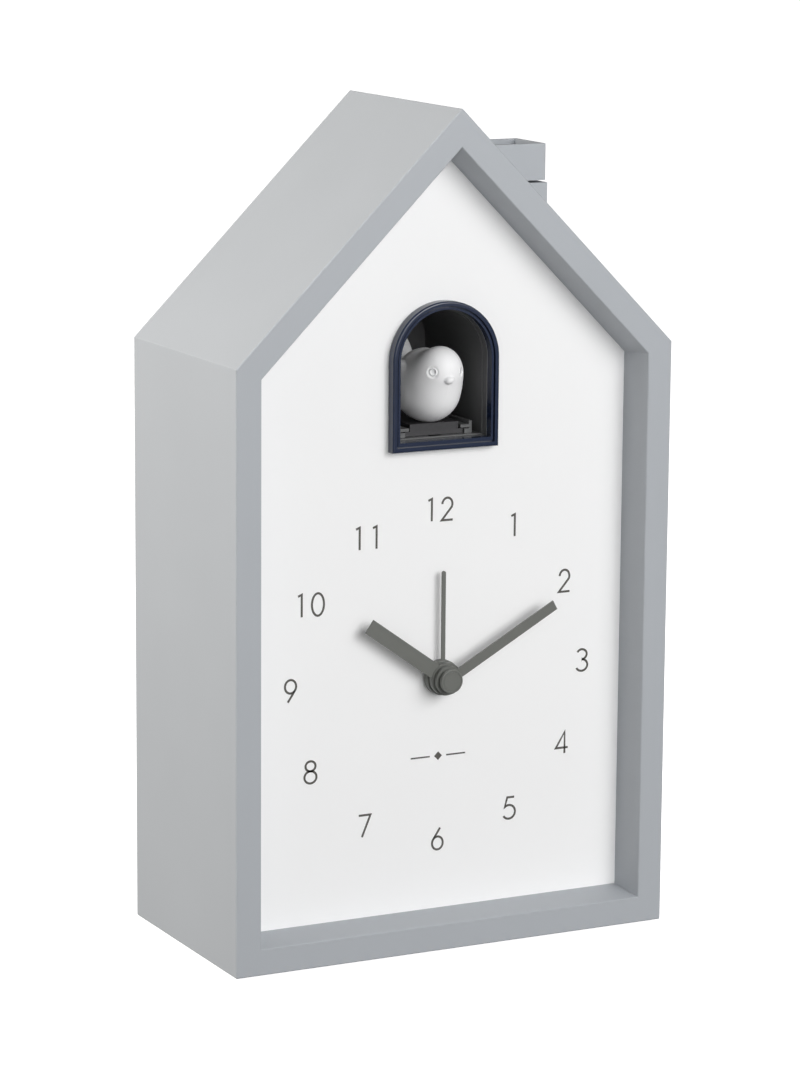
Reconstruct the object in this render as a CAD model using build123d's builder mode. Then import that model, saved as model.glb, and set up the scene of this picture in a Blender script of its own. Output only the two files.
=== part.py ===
"""House-shaped cuckoo alarm clock, standing on four small feet.

Millimetres. X runs to the right seen from the front, Y to the rear, Z up. The origin is on the
surface that the clock stands on, under the middle of the housing.
"""

import os
from math import acos, copysign, cos, pi, radians, sin, sqrt, tan

from build123d import *

# Housing: a pentagon with a square-gabled roof, extruded from front to back.
HOUSE_WIDTH = 125.0
HOUSE_DEPTH = 64.0
EAVE_HEIGHT = 156.5
FOOT_PROUD = 0.6
WALL = 3.0
RIM = 7.0
RIM_TAPER = 1.5
FRONT_RECESS = 10.0
REAR_RECESS = 8.0
EDGE_ROUND = 0.4
EDGE_BREAK = 0.2
DIAL_THICKNESS = 2.0
COVER_THICKNESS = 2.0

# Window, niche and bird.
ARCH_CENTRE_HEIGHT = 154.1
FRAME_HALF_WIDTH = 15.3
FRAME_BAND = 2.2
FRAME_PROUD = 3.0
NICHE_STEP = 0.3
NICHE_WALL = 1.3
NICHE_DEPTH = 32.0
BIRD_TRAVEL = 16.0
CARRIAGE_FRONT = -18.0
CARRIAGE_LENGTH = 21.0
BIRD_RADIUS = 8.7

# Quartz alarm movement and hands.
HUB_HEIGHT = 71.0
MOVEMENT_SIDE = 55.0
SHELL = 1.2
HOUR_ANGLE = 305.5
MINUTE_ANGLE = 61.0
ALARM_HAND_LENGTH = 28.2
HOUR_HAND_LENGTH = 27.4
MINUTE_HAND_LENGTH = 35.5

# Chimney button on the right-hand roof slope.
CHIMNEY_X = 29.5
CHIMNEY_SIDE = 16.0
CHIMNEY_TOP = 206.9
CHIMNEY_SEAM = 196.7
BUTTON_GAP = 0.6
BUTTON_TRAVEL = 0.5

# Gear teeth, as multiples of the module, and the share of a tooth left out as backlash.
PRESSURE_ANGLE = radians(25)
ADDENDUM = 0.7
DEDENDUM = 1.0
BACKLASH = 0.12

# Clearances and small fasteners.
RUNNING = 0.05
FIT = 0.1
GAP = 0.2
SCREW_RADIUS = 0.9
SCREW_HEAD_RADIUS = 1.8
SCREW_HEAD = 1.2

# Depths that follow from the sizes above.
FRONT = -HOUSE_DEPTH / 2
BACK = HOUSE_DEPTH / 2
DIAL_FRONT = FRONT + FRONT_RECESS
DIAL_BACK = DIAL_FRONT + DIAL_THICKNESS
COVER_BACK = BACK - REAR_RECESS
COVER_FRONT = COVER_BACK - COVER_THICKNESS

# Heights above the ground that follow from the sizes above.
BASE_Z = FOOT_PROUD
EAVE_Z = BASE_Z + EAVE_HEIGHT
APEX_Z = EAVE_Z + HOUSE_WIDTH / 2
HUB_Z = BASE_Z + HUB_HEIGHT
SPRING_Z = BASE_Z + ARCH_CENTRE_HEIGHT
FRAME_SILL_Z = 131.6
WINDOW_SILL_Z = FRAME_SILL_Z + FRAME_BAND + 0.3
SEAM_Z = BASE_Z + CHIMNEY_SEAM
BUTTON_BASE_Z = SEAM_Z + BUTTON_GAP
BUTTON_TOP_Z = BASE_Z + CHIMNEY_TOP


def at_depth(depth):
    """Drawing plane facing the front of the clock; extruding from it goes forward."""
    return Plane.XZ.offset(-depth)


def polar(centre, distance, angle):
    """Point at a distance and an angle, in degrees, from a centre."""
    return (centre[0] + distance * cos(radians(angle)), centre[1] + distance * sin(radians(angle)))


def house_outline(inset, mode=Mode.ADD):
    """Pentagon of the housing, drawn in by the same amount on all five sides."""
    half = HOUSE_WIDTH / 2 - inset
    eave = EAVE_Z - inset * (sqrt(2) - 1)
    floor = BASE_Z + inset
    apex = APEX_Z - inset * sqrt(2)
    Polygon((-half, floor), (half, floor), (half, eave), (0, apex), (-half, eave), mode=mode)


def arch_outline(half_width, sill, mode=Mode.ADD):
    """Window shape: a rectangle on a sill under a half circle."""
    with Locations((0, SPRING_Z)):
        Circle(half_width, mode=mode)
    with Locations((0, (SPRING_Z + sill) / 2)):
        Rectangle(2 * half_width, SPRING_Z - sill, mode=mode)


def peg(radius, back, front, place, mode=Mode.ADD):
    """Round solid along the depth of the clock, from one depth forward to another."""
    with Locations((place[0], (back + front) / 2, place[1])):
        Cylinder(radius, back - front, rotation=(90, 0, 0), mode=mode)


def post(radius, low, high, place, mode=Mode.ADD):
    """Upright round solid between two heights."""
    with Locations((place[0], place[1], (low + high) / 2)):
        Cylinder(radius, high - low, mode=mode)


def pin(radius, left, right, place, mode=Mode.ADD):
    """Round solid along the width of the clock; place is its depth and height."""
    with Locations(((left + right) / 2, place[0], place[1])):
        Cylinder(radius, right - left, rotation=(0, 90, 0), mode=mode)


def block(left, right, front, back, low, high, mode=Mode.ADD):
    """Rectangular solid between six coordinates."""
    with Locations(((left + right) / 2, (front + back) / 2, (low + high) / 2)):
        Box(right - left, back - front, high - low, mode=mode)


def involute(angle):
    """Involute function of gear geometry."""
    return tan(angle) - angle


def gear_points(teeth, module, first_tooth=0.0, centre=(0.0, 0.0)):
    """Outline of a spur gear, one involute tooth after the other; the first is centred on an angle."""
    pitch_radius = teeth * module / 2
    base_radius = pitch_radius * cos(PRESSURE_ANGLE)
    root_radius = pitch_radius - DEDENDUM * module
    radii = [root_radius, pitch_radius, pitch_radius + ADDENDUM * module]
    if base_radius > root_radius:
        radii.insert(1, base_radius)
    half_tooth = pi / 2 / teeth * (1 - BACKLASH) + involute(PRESSURE_ANGLE)
    flank = [(r, half_tooth - involute(acos(min(1.0, base_radius / r)))) for r in radii]
    tooth = [(r, -half) for r, half in flank] + [(r, half) for r, half in reversed(flank)]
    points = []
    for number in range(teeth):
        middle = first_tooth + number * 2 * pi / teeth
        points += [(centre[0] + r * cos(middle + a), centre[1] + r * sin(middle + a)) for r, a in tooth]
    return points


def meshing_tooth(teeth, first_tooth, direction, other_teeth):
    """First tooth angle of a wheel that meshes, along a direction, with a wheel already placed."""
    past_tooth = (direction - first_tooth) * teeth / (2 * pi)
    return direction + pi - (0.5 - past_tooth) * 2 * pi / other_teeth


def save(piece, name):
    """Label a finished piece and write it to its own file."""
    piece.part.label = name
    export_step(piece.part, "parts/" + name + ".step")


os.makedirs("parts", exist_ok=True)

# ---------------------------------------------------------------- housing

COVER_SCREW_X = HOUSE_WIDTH / 2 - 6.0
COVER_SCREWS = [(x, z) for x in (-COVER_SCREW_X, COVER_SCREW_X) for z in (46.0, 148.0)] + [(0, 210.6)]
COVER_SCREW_DEPTH = 10.0
PILLAR_RADIUS = 3.5
PILLAR_FRONT = 4.0

LIP = RIM + RIM_TAPER
DIAL_SCREW_INSET = 5.8
DIAL_SCREW_X = HOUSE_WIDTH / 2 - DIAL_SCREW_INSET
ROOF_SCREW_X = 25.0
ROOF_SCREW_Z = APEX_Z - DIAL_SCREW_INSET * sqrt(2) - ROOF_SCREW_X
DIAL_SCREWS = [(x, z) for x in (-DIAL_SCREW_X, DIAL_SCREW_X) for z in (25.0, 88.0, 150.0)]
DIAL_SCREWS += [(-ROOF_SCREW_X, ROOF_SCREW_Z), (ROOF_SCREW_X, ROOF_SCREW_Z)]
DIAL_SCREW_LENGTH = 6.0

COLLAR_HALF = CHIMNEY_SIDE / 2 + 0.3
COLLAR_ROOT = 1.0 + WALL / sqrt(2)
STEM_RADIUS = 3.0
GUIDE_RADIUS = 6.0
GUIDE_END_Z = 180.0
SPRING_POCKET_RADIUS = 5.2
SPRING_POCKET_Z = SEAM_Z - 6.0
SWITCH_BOARD_TOP_Z = 173.0
SWITCH_POST_Y = 9.5
SWITCH_POST_RADIUS = 2.0
SWITCH_POST_CLEAR = 2.1
SWITCH_SCREW_DEPTH = 6.0

FOOT_RADIUS = 4.0
FOOT_SET_IN = 1.0
FEET = [(x, y) for x in (-50.0, 50.0) for y in (-24.0, 24.0)]

with BuildPart() as housing:
    with BuildSketch(at_depth(BACK)):
        house_outline(0)
    extrude(amount=HOUSE_DEPTH)
    fillet(housing.edges(), EDGE_ROUND)

    # Hollow from the dial seat to the rear; the screw pillars stand in its middle stretch.
    with BuildSketch(at_depth(PILLAR_FRONT)):
        house_outline(WALL)
    extrude(amount=PILLAR_FRONT - DIAL_FRONT, mode=Mode.SUBTRACT)
    with BuildSketch(at_depth(COVER_FRONT)):
        house_outline(WALL)
        with Locations(*COVER_SCREWS):
            Circle(PILLAR_RADIUS, mode=Mode.SUBTRACT)
    extrude(amount=COVER_FRONT - PILLAR_FRONT, mode=Mode.SUBTRACT)
    with BuildSketch(at_depth(BACK)):
        house_outline(WALL)
    extrude(amount=BACK - COVER_FRONT, mode=Mode.SUBTRACT)

    # Front opening: its walls draw in a little towards the dial.
    with BuildSketch(at_depth(DIAL_FRONT)):
        house_outline(LIP)
    with BuildSketch(at_depth(FRONT)):
        house_outline(RIM)
    loft(mode=Mode.SUBTRACT)
    rim_face = housing.faces().filter_by(Axis.Y).sort_by(Axis.Y)[0]
    chamfer(rim_face.inner_wires()[0].edges(), EDGE_BREAK)
    rear_face = housing.faces().filter_by(Axis.Y).sort_by(Axis.Y)[-1]
    chamfer(rear_face.inner_wires()[0].edges(), EDGE_BREAK)

    # Chimney collar on the roof slope, and the guide and posts below it for the button.
    roof_z = APEX_Z - CHIMNEY_X
    with BuildSketch(at_depth(COLLAR_HALF)):
        Polygon(
            (CHIMNEY_X - COLLAR_HALF, SEAM_Z),
            (CHIMNEY_X - COLLAR_HALF, roof_z + COLLAR_HALF - COLLAR_ROOT),
            (CHIMNEY_X + COLLAR_HALF, roof_z - COLLAR_HALF - COLLAR_ROOT),
            (CHIMNEY_X + COLLAR_HALF, SEAM_Z),
        )
    extrude(amount=2 * COLLAR_HALF)
    post(GUIDE_RADIUS, GUIDE_END_Z, SEAM_Z, (CHIMNEY_X, 0))
    for side in (-1, 1):
        place = (CHIMNEY_X, side * SWITCH_POST_Y)
        post(SWITCH_POST_RADIUS, SWITCH_BOARD_TOP_Z, roof_z - SWITCH_POST_CLEAR, place)
        screw_end = SWITCH_BOARD_TOP_Z + SWITCH_SCREW_DEPTH
        post(SCREW_RADIUS, SWITCH_BOARD_TOP_Z, screw_end, place, Mode.SUBTRACT)
    block(
        CHIMNEY_X - COLLAR_HALF, CHIMNEY_X + COLLAR_HALF, -COLLAR_HALF, COLLAR_HALF,
        SEAM_Z, BUTTON_TOP_Z, Mode.SUBTRACT,
    )
    post(STEM_RADIUS + RUNNING, GUIDE_END_Z - 1.0, SEAM_Z + 1.0, (CHIMNEY_X, 0), Mode.SUBTRACT)
    post(SPRING_POCKET_RADIUS, SPRING_POCKET_Z, SEAM_Z + 1.0, (CHIMNEY_X, 0), Mode.SUBTRACT)

    # Screw holes and the seats of the feet.
    for place in DIAL_SCREWS:
        peg(SCREW_RADIUS, DIAL_FRONT, DIAL_FRONT - DIAL_SCREW_LENGTH, place, Mode.SUBTRACT)
    for place in COVER_SCREWS:
        peg(SCREW_RADIUS, COVER_FRONT, COVER_FRONT - COVER_SCREW_DEPTH, place, Mode.SUBTRACT)
    for place in FEET:
        post(FOOT_RADIUS + FIT, BASE_Z, BASE_Z + FOOT_SET_IN, place, Mode.SUBTRACT)
save(housing, "housing")

with BuildPart() as rubber_feet:
    for place in FEET:
        post(FOOT_RADIUS, 0, BASE_Z + FOOT_SET_IN, place)
    chamfer(rubber_feet.edges().filter_by(GeomType.CIRCLE).group_by(Axis.Z)[0], 0.25)
save(rubber_feet, "rubber_feet")

# ---------------------------------------------------------------- dial, window and niche

DIAL_INSET = WALL + 0.4
NICHE_HALF_WIDTH = FRAME_HALF_WIDTH - FRAME_BAND - NICHE_STEP
NICHE_FLOOR_Z = WINDOW_SILL_Z + NICHE_STEP
NICHE_BACK = DIAL_BACK + NICHE_DEPTH
SLEEVE_HALF_WIDTH = 14.2
SLEEVE_SILL_Z = WINDOW_SILL_Z - 1.1
DIAL_POST_RADIUS = 2.2
DIAL_POST_BACK = DIAL_BACK + 4.0
EAR = 1.4
EAR_ROUND = 2.2
EAR_HALF_HEIGHT = 3.0
EAR_REACH_IN = 4.0
NICHE_EAR_X = 18.0
NICHE_EARS = [(x, z) for x in (-NICHE_EAR_X, NICHE_EAR_X) for z in (138.0, 162.0)]
MOVEMENT_EAR_X = 31.5
MOVEMENT_EARS = [(-MOVEMENT_EAR_X, HUB_Z), (MOVEMENT_EAR_X, HUB_Z)]
CENTRE_HOLE = 4.3
DIAL_THREAD = 1.2

with BuildPart() as dial_plate:
    with BuildSketch(at_depth(DIAL_BACK)):
        house_outline(DIAL_INSET)
        arch_outline(SLEEVE_HALF_WIDTH + GAP, SLEEVE_SILL_Z - GAP, Mode.SUBTRACT)
        with Locations((0, HUB_Z)):
            Circle(CENTRE_HOLE, mode=Mode.SUBTRACT)
        with Locations(*DIAL_SCREWS):
            Circle(SCREW_RADIUS + FIT, mode=Mode.SUBTRACT)
    extrude(amount=DIAL_THICKNESS)
    for place in NICHE_EARS + MOVEMENT_EARS:
        peg(DIAL_POST_RADIUS, DIAL_POST_BACK, DIAL_BACK, place)
        peg(SCREW_RADIUS, DIAL_POST_BACK, DIAL_BACK - DIAL_THREAD, place, Mode.SUBTRACT)
save(dial_plate, "dial_plate")

BEAD_WIDTH = 1.25
BEAD_ROUND = 0.55
GROOVE_WIDTH = 0.35
GROOVE_DEPTH = 0.9
LIP_STEP = 0.35

with BuildPart() as window_frame:
    # Flat band, with a taller rounded bead outside and a lower lip inside, and a groove between.
    frame_front = DIAL_FRONT - FRAME_PROUD
    groove_inset = BEAD_WIDTH + GROOVE_WIDTH
    with BuildSketch(at_depth(DIAL_FRONT)):
        arch_outline(FRAME_HALF_WIDTH, FRAME_SILL_Z)
    extrude(amount=FRAME_PROUD)
    fillet(window_frame.edges().group_by(Axis.Y)[0], BEAD_ROUND)
    with BuildSketch(at_depth(frame_front + LIP_STEP)):
        arch_outline(FRAME_HALF_WIDTH - BEAD_WIDTH, FRAME_SILL_Z + BEAD_WIDTH)
    extrude(amount=GROOVE_DEPTH, mode=Mode.SUBTRACT)
    with BuildSketch(at_depth(frame_front + GROOVE_DEPTH)):
        arch_outline(FRAME_HALF_WIDTH - BEAD_WIDTH, FRAME_SILL_Z + BEAD_WIDTH)
        arch_outline(FRAME_HALF_WIDTH - groove_inset, FRAME_SILL_Z + groove_inset, Mode.SUBTRACT)
    extrude(amount=GROOVE_DEPTH, mode=Mode.SUBTRACT)
    with BuildSketch(at_depth(DIAL_BACK)):
        arch_outline(SLEEVE_HALF_WIDTH, SLEEVE_SILL_Z)
    extrude(amount=DIAL_THICKNESS)
    with BuildSketch(at_depth(DIAL_BACK)):
        arch_outline(FRAME_HALF_WIDTH - FRAME_BAND, WINDOW_SILL_Z)
    extrude(amount=DIAL_THICKNESS + FRAME_PROUD, mode=Mode.SUBTRACT)
save(window_frame, "window_frame")

SLOT_HALF_WIDTH = 1.8
SLOT_BACK = 3.5
RAIL_SCREW_X = 9.7
RAIL_SCREWS = [(x, y) for x in (-RAIL_SCREW_X, RAIL_SCREW_X) for y in (-4.5, 6.0)]
RAIL_SCREW_RADIUS = 0.7

with BuildPart() as niche_shell:
    with BuildSketch(at_depth(NICHE_BACK + NICHE_WALL)):
        arch_outline(NICHE_HALF_WIDTH + NICHE_WALL, NICHE_FLOOR_Z - NICHE_WALL)
    extrude(amount=NICHE_DEPTH + NICHE_WALL)
    for ear_x, ear_z in NICHE_EARS:
        reach = copysign(EAR_ROUND, ear_x)
        left, right = sorted((ear_x + reach, ear_x - EAR_REACH_IN * reach))
        block(
            left, right, DIAL_POST_BACK, DIAL_POST_BACK + EAR,
            ear_z - EAR_HALF_HEIGHT, ear_z + EAR_HALF_HEIGHT,
        )
    with BuildSketch(at_depth(NICHE_BACK)):
        arch_outline(NICHE_HALF_WIDTH, NICHE_FLOOR_Z)
    extrude(amount=NICHE_DEPTH, mode=Mode.SUBTRACT)
    for place in NICHE_EARS:
        peg(SCREW_RADIUS + FIT, DIAL_POST_BACK + EAR, DIAL_POST_BACK, place, Mode.SUBTRACT)
    block(
        -SLOT_HALF_WIDTH, SLOT_HALF_WIDTH, DIAL_BACK + 1.0, SLOT_BACK,
        NICHE_FLOOR_Z - NICHE_WALL, NICHE_FLOOR_Z, Mode.SUBTRACT,
    )
    for place in RAIL_SCREWS:
        post(RAIL_SCREW_RADIUS, NICHE_FLOOR_Z - NICHE_WALL, NICHE_FLOOR_Z, place, Mode.SUBTRACT)
save(niche_shell, "niche_shell")

# ---------------------------------------------------------------- bird, carriage and rails

CARRIAGE_BACK = CARRIAGE_FRONT + CARRIAGE_LENGTH
FLANGE_HALF = 8.4
FLANGE_LOW = NICHE_FLOOR_Z + 0.1
FLANGE_TOP = NICHE_FLOOR_Z + 1.3
CARRIAGE_TOP = NICHE_FLOOR_Z + 3.2
RAIL_FRONT = CARRIAGE_FRONT - 0.5
RAIL_BACK = NICHE_BACK - 0.5
BIRD_Y = -13.9
BIRD_SCREW_Y = -14.0

RAIL_LIP_X = 7.5
RAIL_INNER_X = 8.6
RAIL_WALL_X = 9.9
RAIL_OUTER_X = 10.8
RAIL_LIP_LOW = FLANGE_TOP + GAP
RAIL_LIP_TOP = FLANGE_TOP + 1.0
RAIL_BED_TOP = FLANGE_TOP - 0.1

with BuildPart() as guide_rails:
    # Each rail is a channel on its side: its lip hooks over the carriage's flange.
    for side in (-1, 1):
        with BuildSketch(at_depth(RAIL_BACK)):
            Polygon(
                (side * RAIL_INNER_X, NICHE_FLOOR_Z),
                (side * RAIL_OUTER_X, NICHE_FLOOR_Z),
                (side * RAIL_OUTER_X, CARRIAGE_TOP),
                (side * RAIL_WALL_X, CARRIAGE_TOP),
                (side * RAIL_WALL_X, RAIL_LIP_TOP),
                (side * RAIL_LIP_X, RAIL_LIP_TOP),
                (side * RAIL_LIP_X, RAIL_LIP_LOW),
                (side * RAIL_WALL_X, RAIL_LIP_LOW),
                (side * RAIL_WALL_X, RAIL_BED_TOP),
                (side * RAIL_INNER_X, RAIL_BED_TOP),
            )
        extrude(amount=RAIL_BACK - RAIL_FRONT)
    for place in RAIL_SCREWS:
        post(RAIL_SCREW_RADIUS, NICHE_FLOOR_Z, NICHE_FLOOR_Z + 1.0, place, Mode.SUBTRACT)
save(guide_rails, "guide_rails")

BIRD_SCREW = (0, BIRD_SCREW_Y)
BIRD_SCREW_RADIUS = 1.0
BIRD_SCREW_HEAD_RADIUS = 2.2
CARRIAGE_HALF = 7.0

with BuildPart() as bird_carriage:
    block(-FLANGE_HALF, FLANGE_HALF, CARRIAGE_FRONT, CARRIAGE_BACK, FLANGE_LOW, FLANGE_TOP)
    block(-CARRIAGE_HALF, CARRIAGE_HALF, CARRIAGE_FRONT, CARRIAGE_BACK, FLANGE_TOP, CARRIAGE_TOP)
    post(BIRD_SCREW_HEAD_RADIUS + GAP, FLANGE_LOW, FLANGE_LOW + SCREW_HEAD, BIRD_SCREW, Mode.SUBTRACT)
    post(BIRD_SCREW_RADIUS, FLANGE_LOW, CARRIAGE_TOP, BIRD_SCREW, Mode.SUBTRACT)
save(bird_carriage, "bird_carriage")

BODY_YS = (-15.9, -11.5)
BODY_Z = CARRIAGE_TOP + 8.4
HEAD_RADIUS = 5.4
HEAD_Y = -21.1
HEAD_Z = CARRIAGE_TOP + 14.8
BEAK_Y = -26.9
BEAK_Z = CARRIAGE_TOP + 12.4
TAIL_HALF_WIDTH = 3.5

with BuildPart() as bird:
    # Body of two overlapping balls on a flat base, round head, small beak and a raised tail.
    for body_y in BODY_YS:
        with Locations((0, body_y, BODY_Z)):
            Sphere(BIRD_RADIUS)
    with Locations((0, HEAD_Y, HEAD_Z)):
        Sphere(HEAD_RADIUS)
    with Locations((0, BIRD_Y, CARRIAGE_TOP - BIRD_RADIUS)):
        Box(4 * BIRD_RADIUS, 4 * BIRD_RADIUS, 2 * BIRD_RADIUS, mode=Mode.SUBTRACT)
    with Locations((0, BEAK_Y, BEAK_Z)):
        Cone(1.3, 0.3, 1.8, rotation=(90, 0, 0))
    with BuildSketch(Plane.YZ.offset(-TAIL_HALF_WIDTH)):
        Polygon(
            (BIRD_Y + 4.5, BODY_Z + 2.0), (BIRD_Y + 8.0, BODY_Z - 2.0),
            (BIRD_Y + 12.8, 158.4), (BIRD_Y + 11.2, 159.8),
        )
    extrude(amount=2 * TAIL_HALF_WIDTH)
    post(BIRD_SCREW_RADIUS, CARRIAGE_TOP, CARRIAGE_TOP + 5.0, BIRD_SCREW, Mode.SUBTRACT)
save(bird, "bird")

with BuildPart() as bird_screw:
    post(BIRD_SCREW_HEAD_RADIUS, FLANGE_LOW, FLANGE_LOW + SCREW_HEAD, BIRD_SCREW)
    post(BIRD_SCREW_RADIUS, FLANGE_LOW + SCREW_HEAD, CARRIAGE_TOP + 4.5, BIRD_SCREW)
    with Locations((0, BIRD_SCREW_Y, FLANGE_LOW + 0.3)):
        Box(2.6, 0.5, 0.6, mode=Mode.SUBTRACT)
        Box(0.5, 2.6, 0.6, mode=Mode.SUBTRACT)
save(bird_screw, "bird_screw")

# ---------------------------------------------------------------- bird drive

DRIVE_MODULE = 0.5
PINION_TEETH = 14
DRIVE_TEETH = 22
MOTOR_TEETH = 10
RACK_PITCH_Z = 130.2
RACK_TOP_Z = NICHE_FLOOR_Z - NICHE_WALL - 0.3
DRIVE_Z = RACK_PITCH_Z - PINION_TEETH * DRIVE_MODULE / 2
MOTOR_Z = DRIVE_Z - (DRIVE_TEETH + MOTOR_TEETH) * DRIVE_MODULE / 2
RACK_FRONT = -2.4
RACK_LENGTH = 21.0
AXLE_RADIUS = 1.0
BRACKET_FRONT = -6.0
BRACKET_BACK = 7.5
BRACKET_LOW = 110.0
BRACKET_TOP = NICHE_FLOOR_Z - NICHE_WALL

with BuildPart() as drive_rack:
    # Straight-sided teeth under a bar; one tooth stands right over the pinion's axis.
    tooth_pitch = pi * DRIVE_MODULE
    half_at_pitch = tooth_pitch / 4 * (1 - BACKLASH)
    half_at_root = half_at_pitch + DEDENDUM * DRIVE_MODULE * tan(PRESSURE_ANGLE)
    half_at_tip = half_at_pitch - ADDENDUM * DRIVE_MODULE * tan(PRESSURE_ANGLE)
    root_z = RACK_PITCH_Z + DEDENDUM * DRIVE_MODULE
    tip_z = RACK_PITCH_Z - ADDENDUM * DRIVE_MODULE
    with BuildSketch(Plane.YZ.offset(-1.5)):
        with Locations((RACK_FRONT + RACK_LENGTH / 2, (root_z + RACK_TOP_Z) / 2)):
            Rectangle(RACK_LENGTH, RACK_TOP_Z - root_z)
        for number in range(-1, 12):
            middle = number * tooth_pitch
            Polygon(
                (middle - half_at_root, root_z), (middle - half_at_tip, tip_z),
                (middle + half_at_tip, tip_z), (middle + half_at_root, root_z),
            )
    extrude(amount=3.0)
    block(-1.5, 1.5, RACK_FRONT, SLOT_BACK - 0.5, RACK_TOP_Z, FLANGE_LOW)
save(drive_rack, "drive_rack")

pinion_tooth = pi / 2 + pi / PINION_TEETH
motor_tooth = meshing_tooth(DRIVE_TEETH, pinion_tooth, -pi / 2, MOTOR_TEETH)

with BuildPart() as drive_gear:
    with BuildSketch(Plane.YZ.offset(-1.3)):
        Polygon(*gear_points(PINION_TEETH, DRIVE_MODULE, pinion_tooth, (0, DRIVE_Z)))
    extrude(amount=2.6)
    with BuildSketch(Plane.YZ.offset(2.0)):
        Polygon(*gear_points(DRIVE_TEETH, DRIVE_MODULE, pinion_tooth, (0, DRIVE_Z)))
    extrude(amount=2.0)
    pin(2.0, -2.9, 4.3, (0, DRIVE_Z))
    pin(AXLE_RADIUS + RUNNING, -4.0, 5.0, (0, DRIVE_Z), Mode.SUBTRACT)
save(drive_gear, "drive_gear")

with BuildPart() as drive_axle:
    pin(AXLE_RADIUS, -4.7, 6.1, (0, DRIVE_Z))
    pin(1.6, -4.7, -4.2, (0, DRIVE_Z))
save(drive_axle, "drive_axle")

with BuildPart() as motor_pinion:
    with BuildSketch(Plane.YZ.offset(1.9)):
        Polygon(*gear_points(MOTOR_TEETH, DRIVE_MODULE, motor_tooth, (0, MOTOR_Z)))
    extrude(amount=2.2)
    pin(0.75, 1.5, 9.0, (0, MOTOR_Z))
save(motor_pinion, "motor_pinion")

with BuildPart() as drive_motor:
    # Round can with two flats, a bearing nose through the bracket and two solder tags.
    with BuildSketch(Plane.YZ.offset(5.8)):
        with Locations((0, MOTOR_Z)):
            Circle(6.0)
            Rectangle(12.0, 10.0, mode=Mode.INTERSECT)
    extrude(amount=15.0)
    pin(1.5, 4.8, 5.8, (0, MOTOR_Z))
    pin(2.2, 20.8, 21.6, (0, MOTOR_Z))
    for tag_y in (-3.5, 3.5):
        block(20.8, 23.4, tag_y - 0.2, tag_y + 0.2, MOTOR_Z - 1.0, MOTOR_Z + 1.0)
    pin(0.75 + RUNNING, 4.7, 9.5, (0, MOTOR_Z), Mode.SUBTRACT)
save(drive_motor, "drive_motor")

with BuildPart() as drive_bracket:
    block(-4.2, 5.8, BRACKET_FRONT, BRACKET_BACK, BRACKET_LOW, BRACKET_LOW + 1.0)
    block(-4.2, -3.2, BRACKET_FRONT, BRACKET_BACK, BRACKET_LOW, BRACKET_TOP)
    block(4.8, 5.8, BRACKET_FRONT, BRACKET_BACK, BRACKET_LOW, BRACKET_TOP)
    block(-11.6, -3.2, BRACKET_FRONT, BRACKET_BACK, BRACKET_TOP - 1.0, BRACKET_TOP)
    block(4.8, 11.6, BRACKET_FRONT, BRACKET_BACK, BRACKET_TOP - 1.0, BRACKET_TOP)
    pin(AXLE_RADIUS, -5.0, 6.5, (0, DRIVE_Z), Mode.SUBTRACT)
    pin(1.5, 4.5, 6.0, (0, MOTOR_Z), Mode.SUBTRACT)
    for place in RAIL_SCREWS:
        post(RAIL_SCREW_RADIUS, BRACKET_TOP - 1.0, BRACKET_TOP, place, Mode.SUBTRACT)
save(drive_bracket, "drive_bracket")

with BuildPart() as drive_screws:
    for place in RAIL_SCREWS:
        post(1.4, BRACKET_TOP - 2.0, BRACKET_TOP - 1.0, place)
        post(RAIL_SCREW_RADIUS, BRACKET_TOP - 1.0, NICHE_FLOOR_Z + 0.9, place)
        with Locations((place[0], place[1], BRACKET_TOP - 1.8)):
            Box(1.8, 0.4, 0.4, mode=Mode.SUBTRACT)
save(drive_screws, "drive_screws")

# ---------------------------------------------------------------- movement case

HALF_SIDE = MOVEMENT_SIDE / 2
CASE_SPLIT = DIAL_BACK + 9.0
CASE_BACK = DIAL_BACK + 17.0
CASE_CORNER = 3.0
FRONT_PLATE = 1.5
PLATE_BACK = DIAL_BACK + FRONT_PLATE
TRAIN_PLATE_FRONT = -12.9
TRAIN_PLATE = 1.0
PIVOT_RADIUS = 0.4
SHAFT_RADIUS = 1.5
BUSHING_RADIUS = 4.1

# Radii of the three nested arbors, from the inside out.
MINUTE_ARBOR = 1.0
HOUR_TUBE = 1.85
ALARM_TUBE = 2.75

# Motion work: minute pinion 12 to wheel 36, then pinion 12 to hour wheel 48, one to twelve in all.
MOTION_MODULE = 0.4
HOUR_MODULE = 0.32
SETTING_TEETH = 12
MOTION_TEETH = 36
HOUR_TEETH = 48
MOTION_DISTANCE = (SETTING_TEETH + MOTION_TEETH) * MOTION_MODULE / 2
MOTION_ANGLE = 235.0
TIME_SHAFT_ANGLE = 210.0

# Alarm setting pair: wheel 36 on the alarm tube, pinion 18 on the alarm knob's shaft.
ALARM_MODULE = 0.5
ALARM_TEETH = 36
ALARM_PINION_TEETH = 18
ALARM_DISTANCE = (ALARM_TEETH + ALARM_PINION_TEETH) * ALARM_MODULE / 2
ALARM_SHAFT_ANGLE = 290.0

HUB = (0.0, HUB_Z)
MOTION_AXIS = polar(HUB, MOTION_DISTANCE, MOTION_ANGLE)
TIME_SHAFT = polar(MOTION_AXIS, MOTION_DISTANCE, TIME_SHAFT_ANGLE)
ALARM_SHAFT = polar(HUB, ALARM_DISTANCE, ALARM_SHAFT_ANGLE)


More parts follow.
